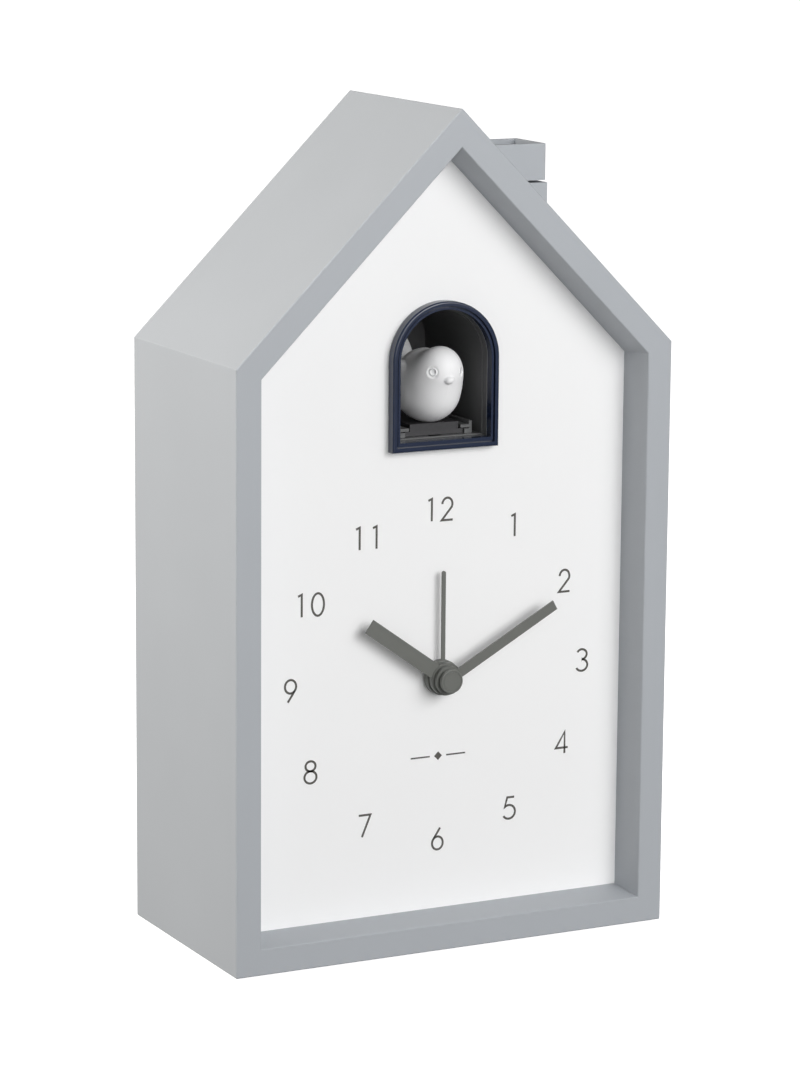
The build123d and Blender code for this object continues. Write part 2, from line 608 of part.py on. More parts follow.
class Mobile:
    """One wheel and pinion of the going train, with its place and how its teeth are turned."""

    def __init__(self, name, teeth, module, level, centre, first_tooth):
        self.name = name
        self.teeth = teeth
        self.module = module
        self.level = level
        self.centre = centre
        self.first_tooth = first_tooth

    def driven_by(self, name, teeth, pinion_teeth, module, angle):
        """Next mobile up the train: its pinion meshes with this wheel, seen at an angle."""
        distance = (self.teeth + pinion_teeth) * self.module / 2
        pinion_tooth = meshing_tooth(self.teeth, self.first_tooth, radians(angle), pinion_teeth)
        upper = Mobile(name, teeth, module, self.level + 1, polar(self.centre, distance, angle), 0.0)
        upper.pinion = (pinion_teeth, self.module, pinion_tooth)
        return upper


def level_back(level):
    """Rear face of the wheels at a level of the train, counted from the centre wheel."""
    return -9.8 + 1.3 * level


WHEEL_THICKNESS = 0.8
PINION_TEETH_SMALL = 8
centre_mobile = Mobile("centre_wheel", 60, 0.25, 0, HUB, 0.0)
third_mobile = centre_mobile.driven_by("third_wheel", 64, PINION_TEETH_SMALL, 0.2, 35.0)
second_mobile = third_mobile.driven_by("second_wheel", 60, PINION_TEETH_SMALL, 0.2, 80.0)
intermediate_mobile = second_mobile.driven_by("intermediate_wheel", 32, PINION_TEETH_SMALL, 0.25, 170.0)
rotor_mobile = intermediate_mobile.driven_by("rotor", 0, PINION_TEETH_SMALL, 0, 180.0)
pivoted = [third_mobile, second_mobile, intermediate_mobile, rotor_mobile]

with BuildPart() as movement_front_case:
    with BuildSketch(at_depth(CASE_SPLIT)):
        with Locations(HUB):
            RectangleRounded(MOVEMENT_SIDE, MOVEMENT_SIDE, CASE_CORNER)
    extrude(amount=CASE_SPLIT - DIAL_BACK)
    with BuildSketch(at_depth(CASE_SPLIT)):
        with Locations(HUB):
            RectangleRounded(MOVEMENT_SIDE - 2 * SHELL, MOVEMENT_SIDE - 2 * SHELL, CASE_CORNER - SHELL)
    extrude(amount=CASE_SPLIT - PLATE_BACK, mode=Mode.SUBTRACT)
    # Threaded bushing through the dial, posts for the train plate and two fixing ears.
    peg(BUSHING_RADIUS, PLATE_BACK, DIAL_FRONT - 0.2, HUB)
    for side_x in (-1, 1):
        for side_z in (-1, 1):
            corner = (side_x * (HALF_SIDE - 4.0), HUB_Z + side_z * (HALF_SIDE - 4.0))
            peg(2.2, TRAIN_PLATE_FRONT, PLATE_BACK, corner)
        left, right = sorted((side_x * (HALF_SIDE - SHELL / 2), side_x * (MOVEMENT_EAR_X + EAR_ROUND)))
        block(
            left, right, DIAL_POST_BACK, DIAL_POST_BACK + EAR,
            HUB_Z - EAR_HALF_HEIGHT, HUB_Z + EAR_HALF_HEIGHT,
        )
    for place in MOVEMENT_EARS:
        peg(SCREW_RADIUS + FIT, DIAL_POST_BACK + EAR, DIAL_POST_BACK, place, Mode.SUBTRACT)
    peg(ALARM_TUBE + RUNNING, PLATE_BACK, DIAL_FRONT - 1.0, HUB, Mode.SUBTRACT)
    for place in (TIME_SHAFT, ALARM_SHAFT):
        peg(2 * PIVOT_RADIUS + RUNNING, PLATE_BACK, PLATE_BACK - 0.9, place, Mode.SUBTRACT)
save(movement_front_case, "movement_front_case")

with BuildPart() as train_plate:
    with BuildSketch(at_depth(TRAIN_PLATE_FRONT + TRAIN_PLATE)):
        with Locations(HUB):
            RectangleRounded(MOVEMENT_SIDE - 3.0, MOVEMENT_SIDE - 3.0, 1.0)
            Circle(MINUTE_ARBOR + RUNNING, mode=Mode.SUBTRACT)
        for mobile in pivoted:
            with Locations(mobile.centre):
                Circle(PIVOT_RADIUS + RUNNING, mode=Mode.SUBTRACT)
        with Locations(TIME_SHAFT, ALARM_SHAFT):
            Circle(SHAFT_RADIUS + RUNNING, mode=Mode.SUBTRACT)
    extrude(amount=TRAIN_PLATE)
    peg(0.7, TRAIN_PLATE_FRONT, TRAIN_PLATE_FRONT - 3.9, MOTION_AXIS)
save(train_plate, "train_plate")

with BuildPart() as movement_rear_case:
    with BuildSketch(at_depth(CASE_BACK)):
        with Locations(HUB):
            RectangleRounded(MOVEMENT_SIDE, MOVEMENT_SIDE, CASE_CORNER)
    extrude(amount=CASE_BACK - CASE_SPLIT)
    with BuildSketch(at_depth(CASE_BACK - SHELL)):
        with Locations(HUB):
            RectangleRounded(MOVEMENT_SIDE - 2 * SHELL, MOVEMENT_SIDE - 2 * SHELL, CASE_CORNER - SHELL)
    extrude(amount=CASE_BACK - CASE_SPLIT - SHELL, mode=Mode.SUBTRACT)
    peg(0.5 + RUNNING, CASE_BACK, CASE_BACK - SHELL, HUB, Mode.SUBTRACT)
    for mobile in pivoted:
        peg(PIVOT_RADIUS + RUNNING, CASE_BACK, CASE_BACK - SHELL, mobile.centre, Mode.SUBTRACT)
    for place in (TIME_SHAFT, ALARM_SHAFT):
        peg(SHAFT_RADIUS + RUNNING, CASE_BACK, CASE_BACK - SHELL, place, Mode.SUBTRACT)
save(movement_rear_case, "movement_rear_case")

# ---------------------------------------------------------------- going train and motor

with BuildPart() as centre_wheel:
    with BuildSketch(at_depth(level_back(0))):
        Polygon(*gear_points(centre_mobile.teeth, centre_mobile.module, 0.0, HUB))
        with Locations(HUB):
            Circle(MINUTE_ARBOR + RUNNING, mode=Mode.SUBTRACT)
    extrude(amount=WHEEL_THICKNESS)
save(centre_wheel, "centre_wheel")

for mobile in pivoted[:-1]:
    pinion_teeth, pinion_module, pinion_first = mobile.pinion
    with BuildPart() as wheel:
        with BuildSketch(at_depth(level_back(mobile.level))):
            Polygon(*gear_points(mobile.teeth, mobile.module, mobile.first_tooth, mobile.centre))
        extrude(amount=WHEEL_THICKNESS)
        with BuildSketch(at_depth(level_back(mobile.level - 1))):
            Polygon(*gear_points(pinion_teeth, pinion_module, pinion_first, mobile.centre))
        extrude(amount=WHEEL_THICKNESS)
        peg(0.5, CASE_BACK - SHELL - 0.1, TRAIN_PLATE_FRONT + TRAIN_PLATE + 0.1, mobile.centre)
        peg(PIVOT_RADIUS, CASE_BACK - 0.5, TRAIN_PLATE_FRONT + 0.3, mobile.centre)
    save(wheel, mobile.name)

MAGNET_RADIUS = 3.0
MAGNET_BACK = -8.0
MAGNET_FRONT = -9.8

with BuildPart() as rotor:
    rotor_teeth, rotor_module, rotor_tooth = rotor_mobile.pinion
    with BuildSketch(at_depth(level_back(rotor_mobile.level - 1))):
        Polygon(*gear_points(rotor_teeth, rotor_module, rotor_tooth, rotor_mobile.centre))
    extrude(amount=WHEEL_THICKNESS)
    peg(MAGNET_RADIUS, MAGNET_BACK, MAGNET_FRONT, rotor_mobile.centre)
    peg(0.5, CASE_BACK - SHELL - 0.1, TRAIN_PLATE_FRONT + TRAIN_PLATE + 0.1, rotor_mobile.centre)
    peg(PIVOT_RADIUS, CASE_BACK - 0.5, TRAIN_PLATE_FRONT + 0.3, rotor_mobile.centre)
save(rotor, "rotor")

STATOR_BACK = -8.3
STATOR_FRONT = -9.5
STATOR_MIDDLE = (STATOR_BACK + STATOR_FRONT) / 2
COIL_X = -22.75
CORE_HALF = 1.25
BOBBIN_RADIUS = 2.8
BOBBIN_LOW = HUB_Z - 1.6
BOBBIN_TOP = HUB_Z + 15.4

with BuildPart() as stator:
    # Soft-iron loop: a block around the rotor, an upper and a lower arm, and the coil's core.
    block(-9.0, 0.2, STATOR_FRONT, STATOR_BACK, HUB_Z + 8.4, HUB_Z + 17.9)
    block(COIL_X - CORE_HALF, -9.0, STATOR_FRONT, STATOR_BACK, HUB_Z + 15.9, HUB_Z + 17.9)
    block(-12.0, -9.0, STATOR_FRONT, STATOR_BACK, HUB_Z - 4.0, HUB_Z + 10.4)
    block(COIL_X - CORE_HALF, -9.0, STATOR_FRONT, STATOR_BACK, HUB_Z - 4.0, HUB_Z - 2.0)
    block(COIL_X - CORE_HALF, COIL_X + CORE_HALF, STATOR_FRONT, STATOR_BACK, HUB_Z - 4.0, HUB_Z + 17.9)
    peg(MAGNET_RADIUS + 0.3, STATOR_BACK, STATOR_FRONT, rotor_mobile.centre, Mode.SUBTRACT)
save(stator, "stator")

with BuildPart() as coil_bobbin:
    for low in (BOBBIN_LOW, BOBBIN_TOP - 0.8):
        post(BOBBIN_RADIUS, low, low + 0.8, (COIL_X, STATOR_MIDDLE))
    post(1.9, BOBBIN_LOW, BOBBIN_TOP, (COIL_X, STATOR_MIDDLE))
    block(
        COIL_X - CORE_HALF, COIL_X + CORE_HALF, STATOR_FRONT, STATOR_BACK,
        BOBBIN_LOW, BOBBIN_TOP, Mode.SUBTRACT,
    )
save(coil_bobbin, "coil_bobbin")

with BuildPart() as coil_winding:
    post(2.5, BOBBIN_LOW + 0.8, BOBBIN_TOP - 0.8, (COIL_X, STATOR_MIDDLE))
    post(1.9, BOBBIN_LOW + 0.8, BOBBIN_TOP - 0.8, (COIL_X, STATOR_MIDDLE), Mode.SUBTRACT)
save(coil_winding, "coil_winding")

with BuildPart() as movement_circuit:
    block(10.0, 25.0, -10.8, -9.8, HUB_Z - 24.0, HUB_Z - 12.0)
    with Locations((15.0, -9.0, HUB_Z - 18.0)):
        Cylinder(1.0, 6.0)
    peg(2.2, -9.0, -9.8, (20.5, HUB_Z - 18.0))
save(movement_circuit, "movement_circuit")

with BuildPart() as alarm_contact:
    block(20.0, 23.0, PLATE_BACK, -16.2, HUB_Z + 15.0, HUB_Z + 18.0)
    block(9.0, 23.0, -16.2, -16.0, HUB_Z + 15.5, HUB_Z + 17.5)
save(alarm_contact, "alarm_contact")

# ---------------------------------------------------------------- motion work and setting shafts

MINUTE_PINION_BACK = -13.5
MOTION_BACK = -14.1
MOTION_FRONT = -15.1
HOUR_BACK = -15.5
HOUR_FRONT = -16.5
ALARM_BACK = -16.9
ALARM_FRONT = -17.9
SHAFT_END = 4.0

motion_first = meshing_tooth(SETTING_TEETH, 0.0, radians(MOTION_ANGLE), MOTION_TEETH)
time_first = meshing_tooth(MOTION_TEETH, motion_first, radians(TIME_SHAFT_ANGLE), SETTING_TEETH)
hour_first = meshing_tooth(SETTING_TEETH, motion_first, radians(MOTION_ANGLE + 180), HOUR_TEETH)
alarm_pinion_first = meshing_tooth(ALARM_TEETH, 0.0, radians(ALARM_SHAFT_ANGLE), ALARM_PINION_TEETH)

# Depths of the three hands, from the dial forward.
ALARM_HUB_BACK = DIAL_FRONT - 0.6
HOUR_HUB_BACK = DIAL_FRONT - 3.0
MINUTE_HUB_BACK = DIAL_FRONT - 5.0
CAP_BACK = DIAL_FRONT - 6.6
CAP_FRONT = DIAL_FRONT - 7.6
ALARM_HUB_THICKNESS = 2.1
HOUR_HUB_THICKNESS = 1.6
MINUTE_HUB_THICKNESS = 1.6

with BuildPart() as minute_arbor:
    with BuildSketch(at_depth(MINUTE_PINION_BACK)):
        Polygon(*gear_points(SETTING_TEETH, MOTION_MODULE, 0.0, HUB))
    extrude(amount=MINUTE_PINION_BACK - MOTION_FRONT)
    peg(MINUTE_ARBOR, CASE_BACK - SHELL - 0.1, CAP_BACK, HUB)
    peg(0.5, CASE_BACK - 0.5, CASE_BACK - SHELL - 0.1, HUB)
save(minute_arbor, "minute_arbor")

with BuildPart() as motion_wheel:
    with BuildSketch(at_depth(MOTION_BACK)):
        Polygon(*gear_points(MOTION_TEETH, MOTION_MODULE, motion_first, MOTION_AXIS))
    extrude(amount=MOTION_BACK - MOTION_FRONT)
    with BuildSketch(at_depth(MOTION_FRONT)):
        Polygon(*gear_points(SETTING_TEETH, HOUR_MODULE, motion_first, MOTION_AXIS))
    extrude(amount=MOTION_FRONT - HOUR_FRONT)
    peg(0.7 + RUNNING, MOTION_BACK, HOUR_FRONT, MOTION_AXIS, Mode.SUBTRACT)
save(motion_wheel, "motion_wheel")

with BuildPart() as hour_wheel:
    with BuildSketch(at_depth(HOUR_BACK)):
        Polygon(*gear_points(HOUR_TEETH, HOUR_MODULE, hour_first, HUB))
    extrude(amount=HOUR_BACK - HOUR_FRONT)
    peg(HOUR_TUBE, HOUR_BACK, HOUR_HUB_BACK - HOUR_HUB_THICKNESS, HUB)
    peg(MINUTE_ARBOR + RUNNING, HOUR_BACK, HOUR_HUB_BACK - HOUR_HUB_THICKNESS, HUB, Mode.SUBTRACT)
save(hour_wheel, "hour_wheel")

with BuildPart() as alarm_wheel:
    with BuildSketch(at_depth(ALARM_BACK)):
        Polygon(*gear_points(ALARM_TEETH, ALARM_MODULE, 0.0, HUB))
    extrude(amount=ALARM_BACK - ALARM_FRONT)
    peg(ALARM_TUBE, ALARM_BACK, ALARM_HUB_BACK - ALARM_HUB_THICKNESS, HUB)
    peg(HOUR_TUBE + RUNNING, ALARM_BACK, ALARM_HUB_BACK - ALARM_HUB_THICKNESS, HUB, Mode.SUBTRACT)
save(alarm_wheel, "alarm_wheel")

with BuildPart() as time_pinion:
    with BuildSketch(at_depth(MOTION_BACK)):
        Polygon(*gear_points(SETTING_TEETH, MOTION_MODULE, time_first, TIME_SHAFT))
    extrude(amount=MOTION_BACK - MOTION_FRONT)
    peg(SHAFT_RADIUS, SHAFT_END, MOTION_BACK, TIME_SHAFT)
    peg(2 * PIVOT_RADIUS, MOTION_FRONT, PLATE_BACK - 0.7, TIME_SHAFT)
save(time_pinion, "time_pinion")

with BuildPart() as alarm_pinion:
    with BuildSketch(at_depth(ALARM_BACK)):
        Polygon(*gear_points(ALARM_PINION_TEETH, ALARM_MODULE, alarm_pinion_first, ALARM_SHAFT))
    extrude(amount=ALARM_BACK - ALARM_FRONT)
    peg(SHAFT_RADIUS, SHAFT_END, ALARM_BACK, ALARM_SHAFT)
    peg(2 * PIVOT_RADIUS, ALARM_FRONT, PLATE_BACK - 0.7, ALARM_SHAFT)
save(alarm_pinion, "alarm_pinion")

# ---------------------------------------------------------------- hands

ALARM_HUB_RADIUS = 4.65
HOUR_HUB_RADIUS = 4.3
MINUTE_HUB_RADIUS = 3.8
CAP_RADIUS = 3.15
ALARM_BLADE = 1.05
HOUR_BLADE = 4.0
MINUTE_BLADE = 2.6
BLADE_THICKNESS = 0.5


def hand_profile(length, width, angle, round_tip=False):
    """Straight hand blade from the hub's axis outward; angle is clockwise from twelve o'clock."""
    with Locations(Location((*HUB, 0), (0, 0, 90 - angle))):
        with Locations((length / 2, 0)):
            if round_tip:
                SlotOverall(length, width)
            else:
                Rectangle(length, width)


with BuildPart() as alarm_hand:
    peg(ALARM_HUB_RADIUS, ALARM_HUB_BACK, ALARM_HUB_BACK - ALARM_HUB_THICKNESS, HUB)
    fillet(alarm_hand.edges().filter_by(GeomType.CIRCLE).group_by(Axis.Y)[0], 0.3)
    with BuildSketch(at_depth(DIAL_FRONT - 2.0)):
        hand_profile(ALARM_HAND_LENGTH, ALARM_BLADE, 0.0, round_tip=True)
    extrude(amount=BLADE_THICKNESS)
    peg(ALARM_TUBE, ALARM_HUB_BACK, ALARM_HUB_BACK - ALARM_HUB_THICKNESS, HUB, Mode.SUBTRACT)
save(alarm_hand, "alarm_hand")

with BuildPart() as hour_hand:
    peg(HOUR_HUB_RADIUS, HOUR_HUB_BACK, HOUR_HUB_BACK - HOUR_HUB_THICKNESS, HUB)
    with BuildSketch(at_depth(HOUR_HUB_BACK - 0.9)):
        hand_profile(HOUR_HAND_LENGTH, HOUR_BLADE, HOUR_ANGLE)
    extrude(amount=BLADE_THICKNESS)
    peg(HOUR_TUBE, HOUR_HUB_BACK, HOUR_HUB_BACK - HOUR_HUB_THICKNESS, HUB, Mode.SUBTRACT)
save(hour_hand, "hour_hand")

with BuildPart() as minute_hand:
    peg(MINUTE_HUB_RADIUS, MINUTE_HUB_BACK, MINUTE_HUB_BACK - 1.0, HUB)
    peg(2.3, MINUTE_HUB_BACK - 1.0, CAP_BACK, HUB)
    with BuildSketch(at_depth(MINUTE_HUB_BACK - 0.5)):
        hand_profile(MINUTE_HAND_LENGTH, MINUTE_BLADE, MINUTE_ANGLE)
    extrude(amount=BLADE_THICKNESS)
    peg(MINUTE_ARBOR, MINUTE_HUB_BACK, CAP_BACK, HUB, Mode.SUBTRACT)
save(minute_hand, "minute_hand")

with BuildPart() as hand_cap:
    peg(CAP_RADIUS, CAP_BACK, CAP_FRONT, HUB)
    fillet(hand_cap.edges().filter_by(GeomType.CIRCLE).group_by(Axis.Y)[0], 0.25)
    with BuildSketch(at_depth(CAP_FRONT + 0.12)):
        with Locations(HUB):
            Circle(CAP_RADIUS - 0.5)
            Circle(CAP_RADIUS - 0.75, mode=Mode.SUBTRACT)
    extrude(amount=0.3, mode=Mode.SUBTRACT)
save(hand_cap, "hand_cap")

# ---------------------------------------------------------------- back cover, knobs and switches

COVER_INSET = WALL + 0.25
KNOB_RADIUS = 7.0
KNOB_STEM_RADIUS = 2.4
KNOB_BACK = COVER_BACK + 6.6
KNOB_FRONT = COVER_BACK + 0.6
KNOB_GROOVES = 24
BAY_HALF_WIDTH = 27.2
BAY_LOW = 9.0
BAY_TOP = 39.4
DOOR_PIVOT_Z = BAY_LOW + GAP + COVER_THICKNESS / 2
DOOR_PIN_RADIUS = 0.6
SPEAKER = (-32.0, 120.0)
SPEAKER_RADIUS = 14.0
SWITCHES = {"alarm_switch": (26.0, 120.0), "sound_switch": (42.0, 120.0)}
SWITCH_TRAVEL = 4.0
SLIDER_HALF = 1.4
BOARD_SIZE = (36.0, 32.0)
BOARD_CENTRE = (34.0, 120.0)
BOARD_HOLE_INSET = 3.0
BOARD_HOLE_SPACING = [side - 2 * BOARD_HOLE_INSET for side in BOARD_SIZE]
BOARD_FRONT = 12.0
BOARD_BACK = 13.6

with BuildPart() as back_cover:
    with BuildSketch(at_depth(COVER_BACK)):
        house_outline(COVER_INSET)
        with Locations(TIME_SHAFT, ALARM_SHAFT):
            Circle(KNOB_STEM_RADIUS + GAP, mode=Mode.SUBTRACT)
        with Locations((0, (BAY_LOW + BAY_TOP) / 2)):
            Rectangle(2 * BAY_HALF_WIDTH, BAY_TOP - BAY_LOW, mode=Mode.SUBTRACT)
        with Locations(*COVER_SCREWS):
            Circle(SCREW_RADIUS + FIT, mode=Mode.SUBTRACT)
        with Locations(*SWITCHES.values()):
            Rectangle(2 * SLIDER_HALF + SWITCH_TRAVEL + 0.2, 1.8, mode=Mode.SUBTRACT)
        with Locations(SPEAKER):
            Circle(0.9, mode=Mode.SUBTRACT)
            for ring_radius, count in ((4.0, 6), (8.0, 12)):
                with PolarLocations(ring_radius, count):
                    Circle(0.9, mode=Mode.SUBTRACT)
    extrude(amount=COVER_THICKNESS)
    # Counterbores, the speaker's rim, the board's posts and the holes for the door's pins.
    for place in COVER_SCREWS:
        peg(SCREW_HEAD_RADIUS + FIT, COVER_BACK, COVER_BACK - SCREW_HEAD, place, Mode.SUBTRACT)
    peg(SPEAKER_RADIUS + 1.2, COVER_FRONT, COVER_FRONT - 3.0, SPEAKER)
    peg(SPEAKER_RADIUS + FIT, COVER_FRONT, COVER_FRONT - 3.0, SPEAKER, Mode.SUBTRACT)
    with BuildSketch(at_depth(COVER_FRONT)):
        with Locations(BOARD_CENTRE):
            with GridLocations(*BOARD_HOLE_SPACING, 2, 2):
                Circle(2.0)
    extrude(amount=COVER_FRONT - BOARD_BACK)
    with BuildSketch(at_depth(BOARD_BACK)):
        with Locations(BOARD_CENTRE):
            with GridLocations(*BOARD_HOLE_SPACING, 2, 2):
                Circle(SCREW_RADIUS)
    extrude(amount=-6.0, mode=Mode.SUBTRACT)
    pin(
        DOOR_PIN_RADIUS + RUNNING, -BAY_HALF_WIDTH - 1.3, BAY_HALF_WIDTH + 1.3,
        (COVER_BACK - COVER_THICKNESS / 2, DOOR_PIVOT_Z), Mode.SUBTRACT,
    )
save(back_cover, "back_cover")

with BuildPart() as cover_screws:
    for place in COVER_SCREWS:
        peg(SCREW_HEAD_RADIUS, COVER_BACK, COVER_BACK - SCREW_HEAD, place)
        peg(SCREW_RADIUS, COVER_BACK - SCREW_HEAD, COVER_FRONT - 9.0, place)
        with Locations((place[0], COVER_BACK - 0.3, place[1])):
            Box(2.4, 0.6, 0.5, mode=Mode.SUBTRACT)
            Box(0.5, 0.6, 2.4, mode=Mode.SUBTRACT)
save(cover_screws, "cover_screws")

for name, shaft in (("time_knob", TIME_SHAFT), ("alarm_knob", ALARM_SHAFT)):
    with BuildPart() as knob:
        peg(KNOB_RADIUS, KNOB_BACK, KNOB_FRONT, shaft)
        chamfer(knob.edges().filter_by(GeomType.CIRCLE), 0.5)
        with BuildSketch(at_depth(KNOB_BACK)):
            with Locations(shaft):
                with PolarLocations(KNOB_RADIUS + 0.15, KNOB_GROOVES):
                    Circle(0.45)
        extrude(amount=KNOB_BACK - KNOB_FRONT, mode=Mode.SUBTRACT)
        peg(KNOB_STEM_RADIUS, KNOB_FRONT, CASE_BACK + 0.4, shaft)
        peg(SHAFT_RADIUS, SHAFT_END, CASE_BACK + 0.4, shaft, Mode.SUBTRACT)
    save(knob, name)

for name, place in SWITCHES.items():
    with BuildPart() as slider:
        # The thumb piece starts at the left-hand end of its slot, seen from the front.
        x = place[0] - SWITCH_TRAVEL / 2
        z = place[1]
        thumb_back = COVER_BACK + 1.6
        block(x - 2.6, x + 2.6, COVER_FRONT - 1.2, COVER_FRONT - GAP, z - 1.8, z + 1.8)
        block(x - SLIDER_HALF, x + SLIDER_HALF, COVER_FRONT - GAP, COVER_BACK + GAP, z - 0.8, z + 0.8)
        block(x - 2.0, x + 2.0, COVER_BACK + GAP, thumb_back, z - 2.0, z + 2.0)
        for groove in (-1.0, 0.0, 1.0):
            middle = x + groove
            block(middle - 0.2, middle + 0.2, thumb_back - 0.4, thumb_back, z - 2.0, z + 2.0, Mode.SUBTRACT)
    save(slider, name)

with BuildPart() as switch_housings:
    for place in SWITCHES.values():
        block(place[0] - 5.0, place[0] + 5.0, BOARD_BACK, COVER_FRONT - 1.4, place[1] - 3.0, place[1] + 3.0)
save(switch_housings, "switch_housings")

with BuildPart() as main_board:
    with BuildSketch(at_depth(BOARD_BACK)):
        with Locations(BOARD_CENTRE):
            Rectangle(*BOARD_SIZE)
            with GridLocations(*BOARD_HOLE_SPACING, 2, 2):
                Circle(SCREW_RADIUS + FIT, mode=Mode.SUBTRACT)
    extrude(amount=BOARD_BACK - BOARD_FRONT)
    block(28.0, 40.0, BOARD_FRONT - 1.6, BOARD_FRONT, 115.0, 125.0)
    for capacitor_z in (110.0, 130.0):
        peg(2.5, BOARD_FRONT, BOARD_FRONT - 5.0, (25.0, capacitor_z))
    block(42.0, 47.0, BOARD_FRONT - 4.0, BOARD_FRONT, 112.0, 128.0)
save(main_board, "main_board")

with BuildPart() as speaker:
    # Basket against the cover, cone dished into it, and the magnet in front.
    peg(SPEAKER_RADIUS, COVER_FRONT, COVER_FRONT - 1.6, SPEAKER)
    with Locations(Location((SPEAKER[0], COVER_FRONT - 2.8, SPEAKER[1]), (90, 0, 0))):
        Cone(SPEAKER_RADIUS - 1.0, 8.5, 2.4)
    peg(8.5, COVER_FRONT - 3.9, COVER_FRONT - 7.0, SPEAKER)
    peg(SPEAKER_RADIUS - 1.5, COVER_FRONT, COVER_FRONT - 0.8, SPEAKER, Mode.SUBTRACT)
save(speaker, "speaker")

# ---------------------------------------------------------------- battery bay

TRAY_FRONT = 5.5
TRAY_WALL = 1.2
TRAY_HALF_WIDTH = 27.6
TRAY_LOW = 8.4
TRAY_TOP = 40.0
CELL_RADIUS = 7.2
CELL_LENGTH = 49.5
CELL_Y = 14.2
CELLS = [(16.6, 1), (31.8, -1)]
TIP_LENGTH = 1.0
CONTACT = 0.4

with BuildPart() as battery_tray:
    block(
        -TRAY_HALF_WIDTH - TRAY_WALL, TRAY_HALF_WIDTH + TRAY_WALL, TRAY_FRONT, COVER_FRONT,
        TRAY_LOW - TRAY_WALL, TRAY_TOP + TRAY_WALL,
    )
    block(
        -TRAY_HALF_WIDTH, TRAY_HALF_WIDTH, TRAY_FRONT + TRAY_WALL, COVER_FRONT,
        TRAY_LOW, TRAY_TOP, Mode.SUBTRACT,
    )
save(battery_tray, "battery_tray")

with BuildPart() as batteries:
    for cell_z, side in CELLS:
        tip = side * (TRAY_HALF_WIDTH - CONTACT)
        shoulder = tip - side * TIP_LENGTH
        far = shoulder - side * CELL_LENGTH
        pin(CELL_RADIUS, min(shoulder, far), max(shoulder, far), (CELL_Y, cell_z))
        pin(2.6, min(tip, shoulder), max(tip, shoulder), (CELL_Y, cell_z))
    chamfer(batteries.edges().filter_by(GeomType.CIRCLE).filter_by(lambda edge: edge.radius > 5), 0.5)
save(batteries, "batteries")

with BuildPart() as battery_contacts:
    for cell_z, side in CELLS:
        for face in (-1, 1):
            outer = face * TRAY_HALF_WIDTH
            inner = face * (TRAY_HALF_WIDTH - CONTACT)
            block(min(inner, outer), max(inner, outer), CELL_Y - 5, CELL_Y + 5, cell_z - 5, cell_z + 5)
save(battery_contacts, "battery_contacts")

SPRING_WIRE = 0.35
CELL_SPRING_LENGTH = 2 * TRAY_HALF_WIDTH - 2 * CONTACT - TIP_LENGTH - CELL_LENGTH

with BuildPart() as battery_springs:
    # Each cell's flat end is pressed by a short coil of three turns.
    for cell_z, side in CELLS:
        start = -side * (TRAY_HALF_WIDTH - CONTACT)
        turns = CELL_SPRING_LENGTH - 2 * SPRING_WIRE
        with BuildLine() as coil:
            Helix(turns / 3, turns, 3.6, (start + side * SPRING_WIRE, CELL_Y, cell_z), (side, 0, 0))
        with BuildSketch(Plane(coil.line @ 0, z_dir=coil.line % 0)):
            Circle(SPRING_WIRE)
        sweep(path=coil.line, is_frenet=True)
save(battery_springs, "battery_springs")

with BuildPart() as battery_door:
    # Flat panel with a rounded lower edge on two pivot pins, and a ribbed grip near the top.
    middle_y = COVER_BACK - COVER_THICKNESS / 2
    block(
        -BAY_HALF_WIDTH + GAP, BAY_HALF_WIDTH - GAP, COVER_FRONT, COVER_BACK,
        DOOR_PIVOT_Z, BAY_TOP - GAP,
    )
    pin(COVER_THICKNESS / 2, -BAY_HALF_WIDTH + GAP, BAY_HALF_WIDTH - GAP, (middle_y, DOOR_PIVOT_Z))
    pin(DOOR_PIN_RADIUS, -BAY_HALF_WIDTH - 1.1, BAY_HALF_WIDTH + 1.1, (middle_y, DOOR_PIVOT_Z))
    for rib in range(4):
        low = BAY_TOP - 3.0 - 1.6 * rib
        block(-8.0, 8.0, COVER_BACK, COVER_BACK + 0.5, low - 0.4, low + 0.4)
save(battery_door, "battery_door")

# ---------------------------------------------------------------- chimney button

STEM_END_Z = GUIDE_END_Z - 2.5
CLIP_TOP_Z = GUIDE_END_Z - 0.1
CLIP_THICKNESS = 1.0
BUTTON_DISH = 4.0
BUTTON_WALL = 1.4

with BuildPart() as chimney_button:
    block(
        CHIMNEY_X - CHIMNEY_SIDE / 2, CHIMNEY_X + CHIMNEY_SIDE / 2, -CHIMNEY_SIDE / 2, CHIMNEY_SIDE / 2,
        BUTTON_BASE_Z, BUTTON_TOP_Z,
    )
    fillet(chimney_button.edges().filter_by(Axis.Z), 0.5)
    dish_half = CHIMNEY_SIDE / 2 - BUTTON_WALL
    block(
        CHIMNEY_X - dish_half, CHIMNEY_X + dish_half, -dish_half, dish_half,
        BUTTON_TOP_Z - BUTTON_DISH, BUTTON_TOP_Z, Mode.SUBTRACT,
    )
    fillet(chimney_button.edges().group_by(Axis.Z)[-1], 0.25)
    post(STEM_RADIUS, STEM_END_Z, BUTTON_BASE_Z, (CHIMNEY_X, 0))
    post(STEM_RADIUS + 1.0, CLIP_TOP_Z - CLIP_THICKNESS, CLIP_TOP_Z, (CHIMNEY_X, 0), Mode.SUBTRACT)
    post(STEM_RADIUS - 0.6, CLIP_TOP_Z - CLIP_THICKNESS, CLIP_TOP_Z, (CHIMNEY_X, 0))
save(chimney_button, "chimney_button")

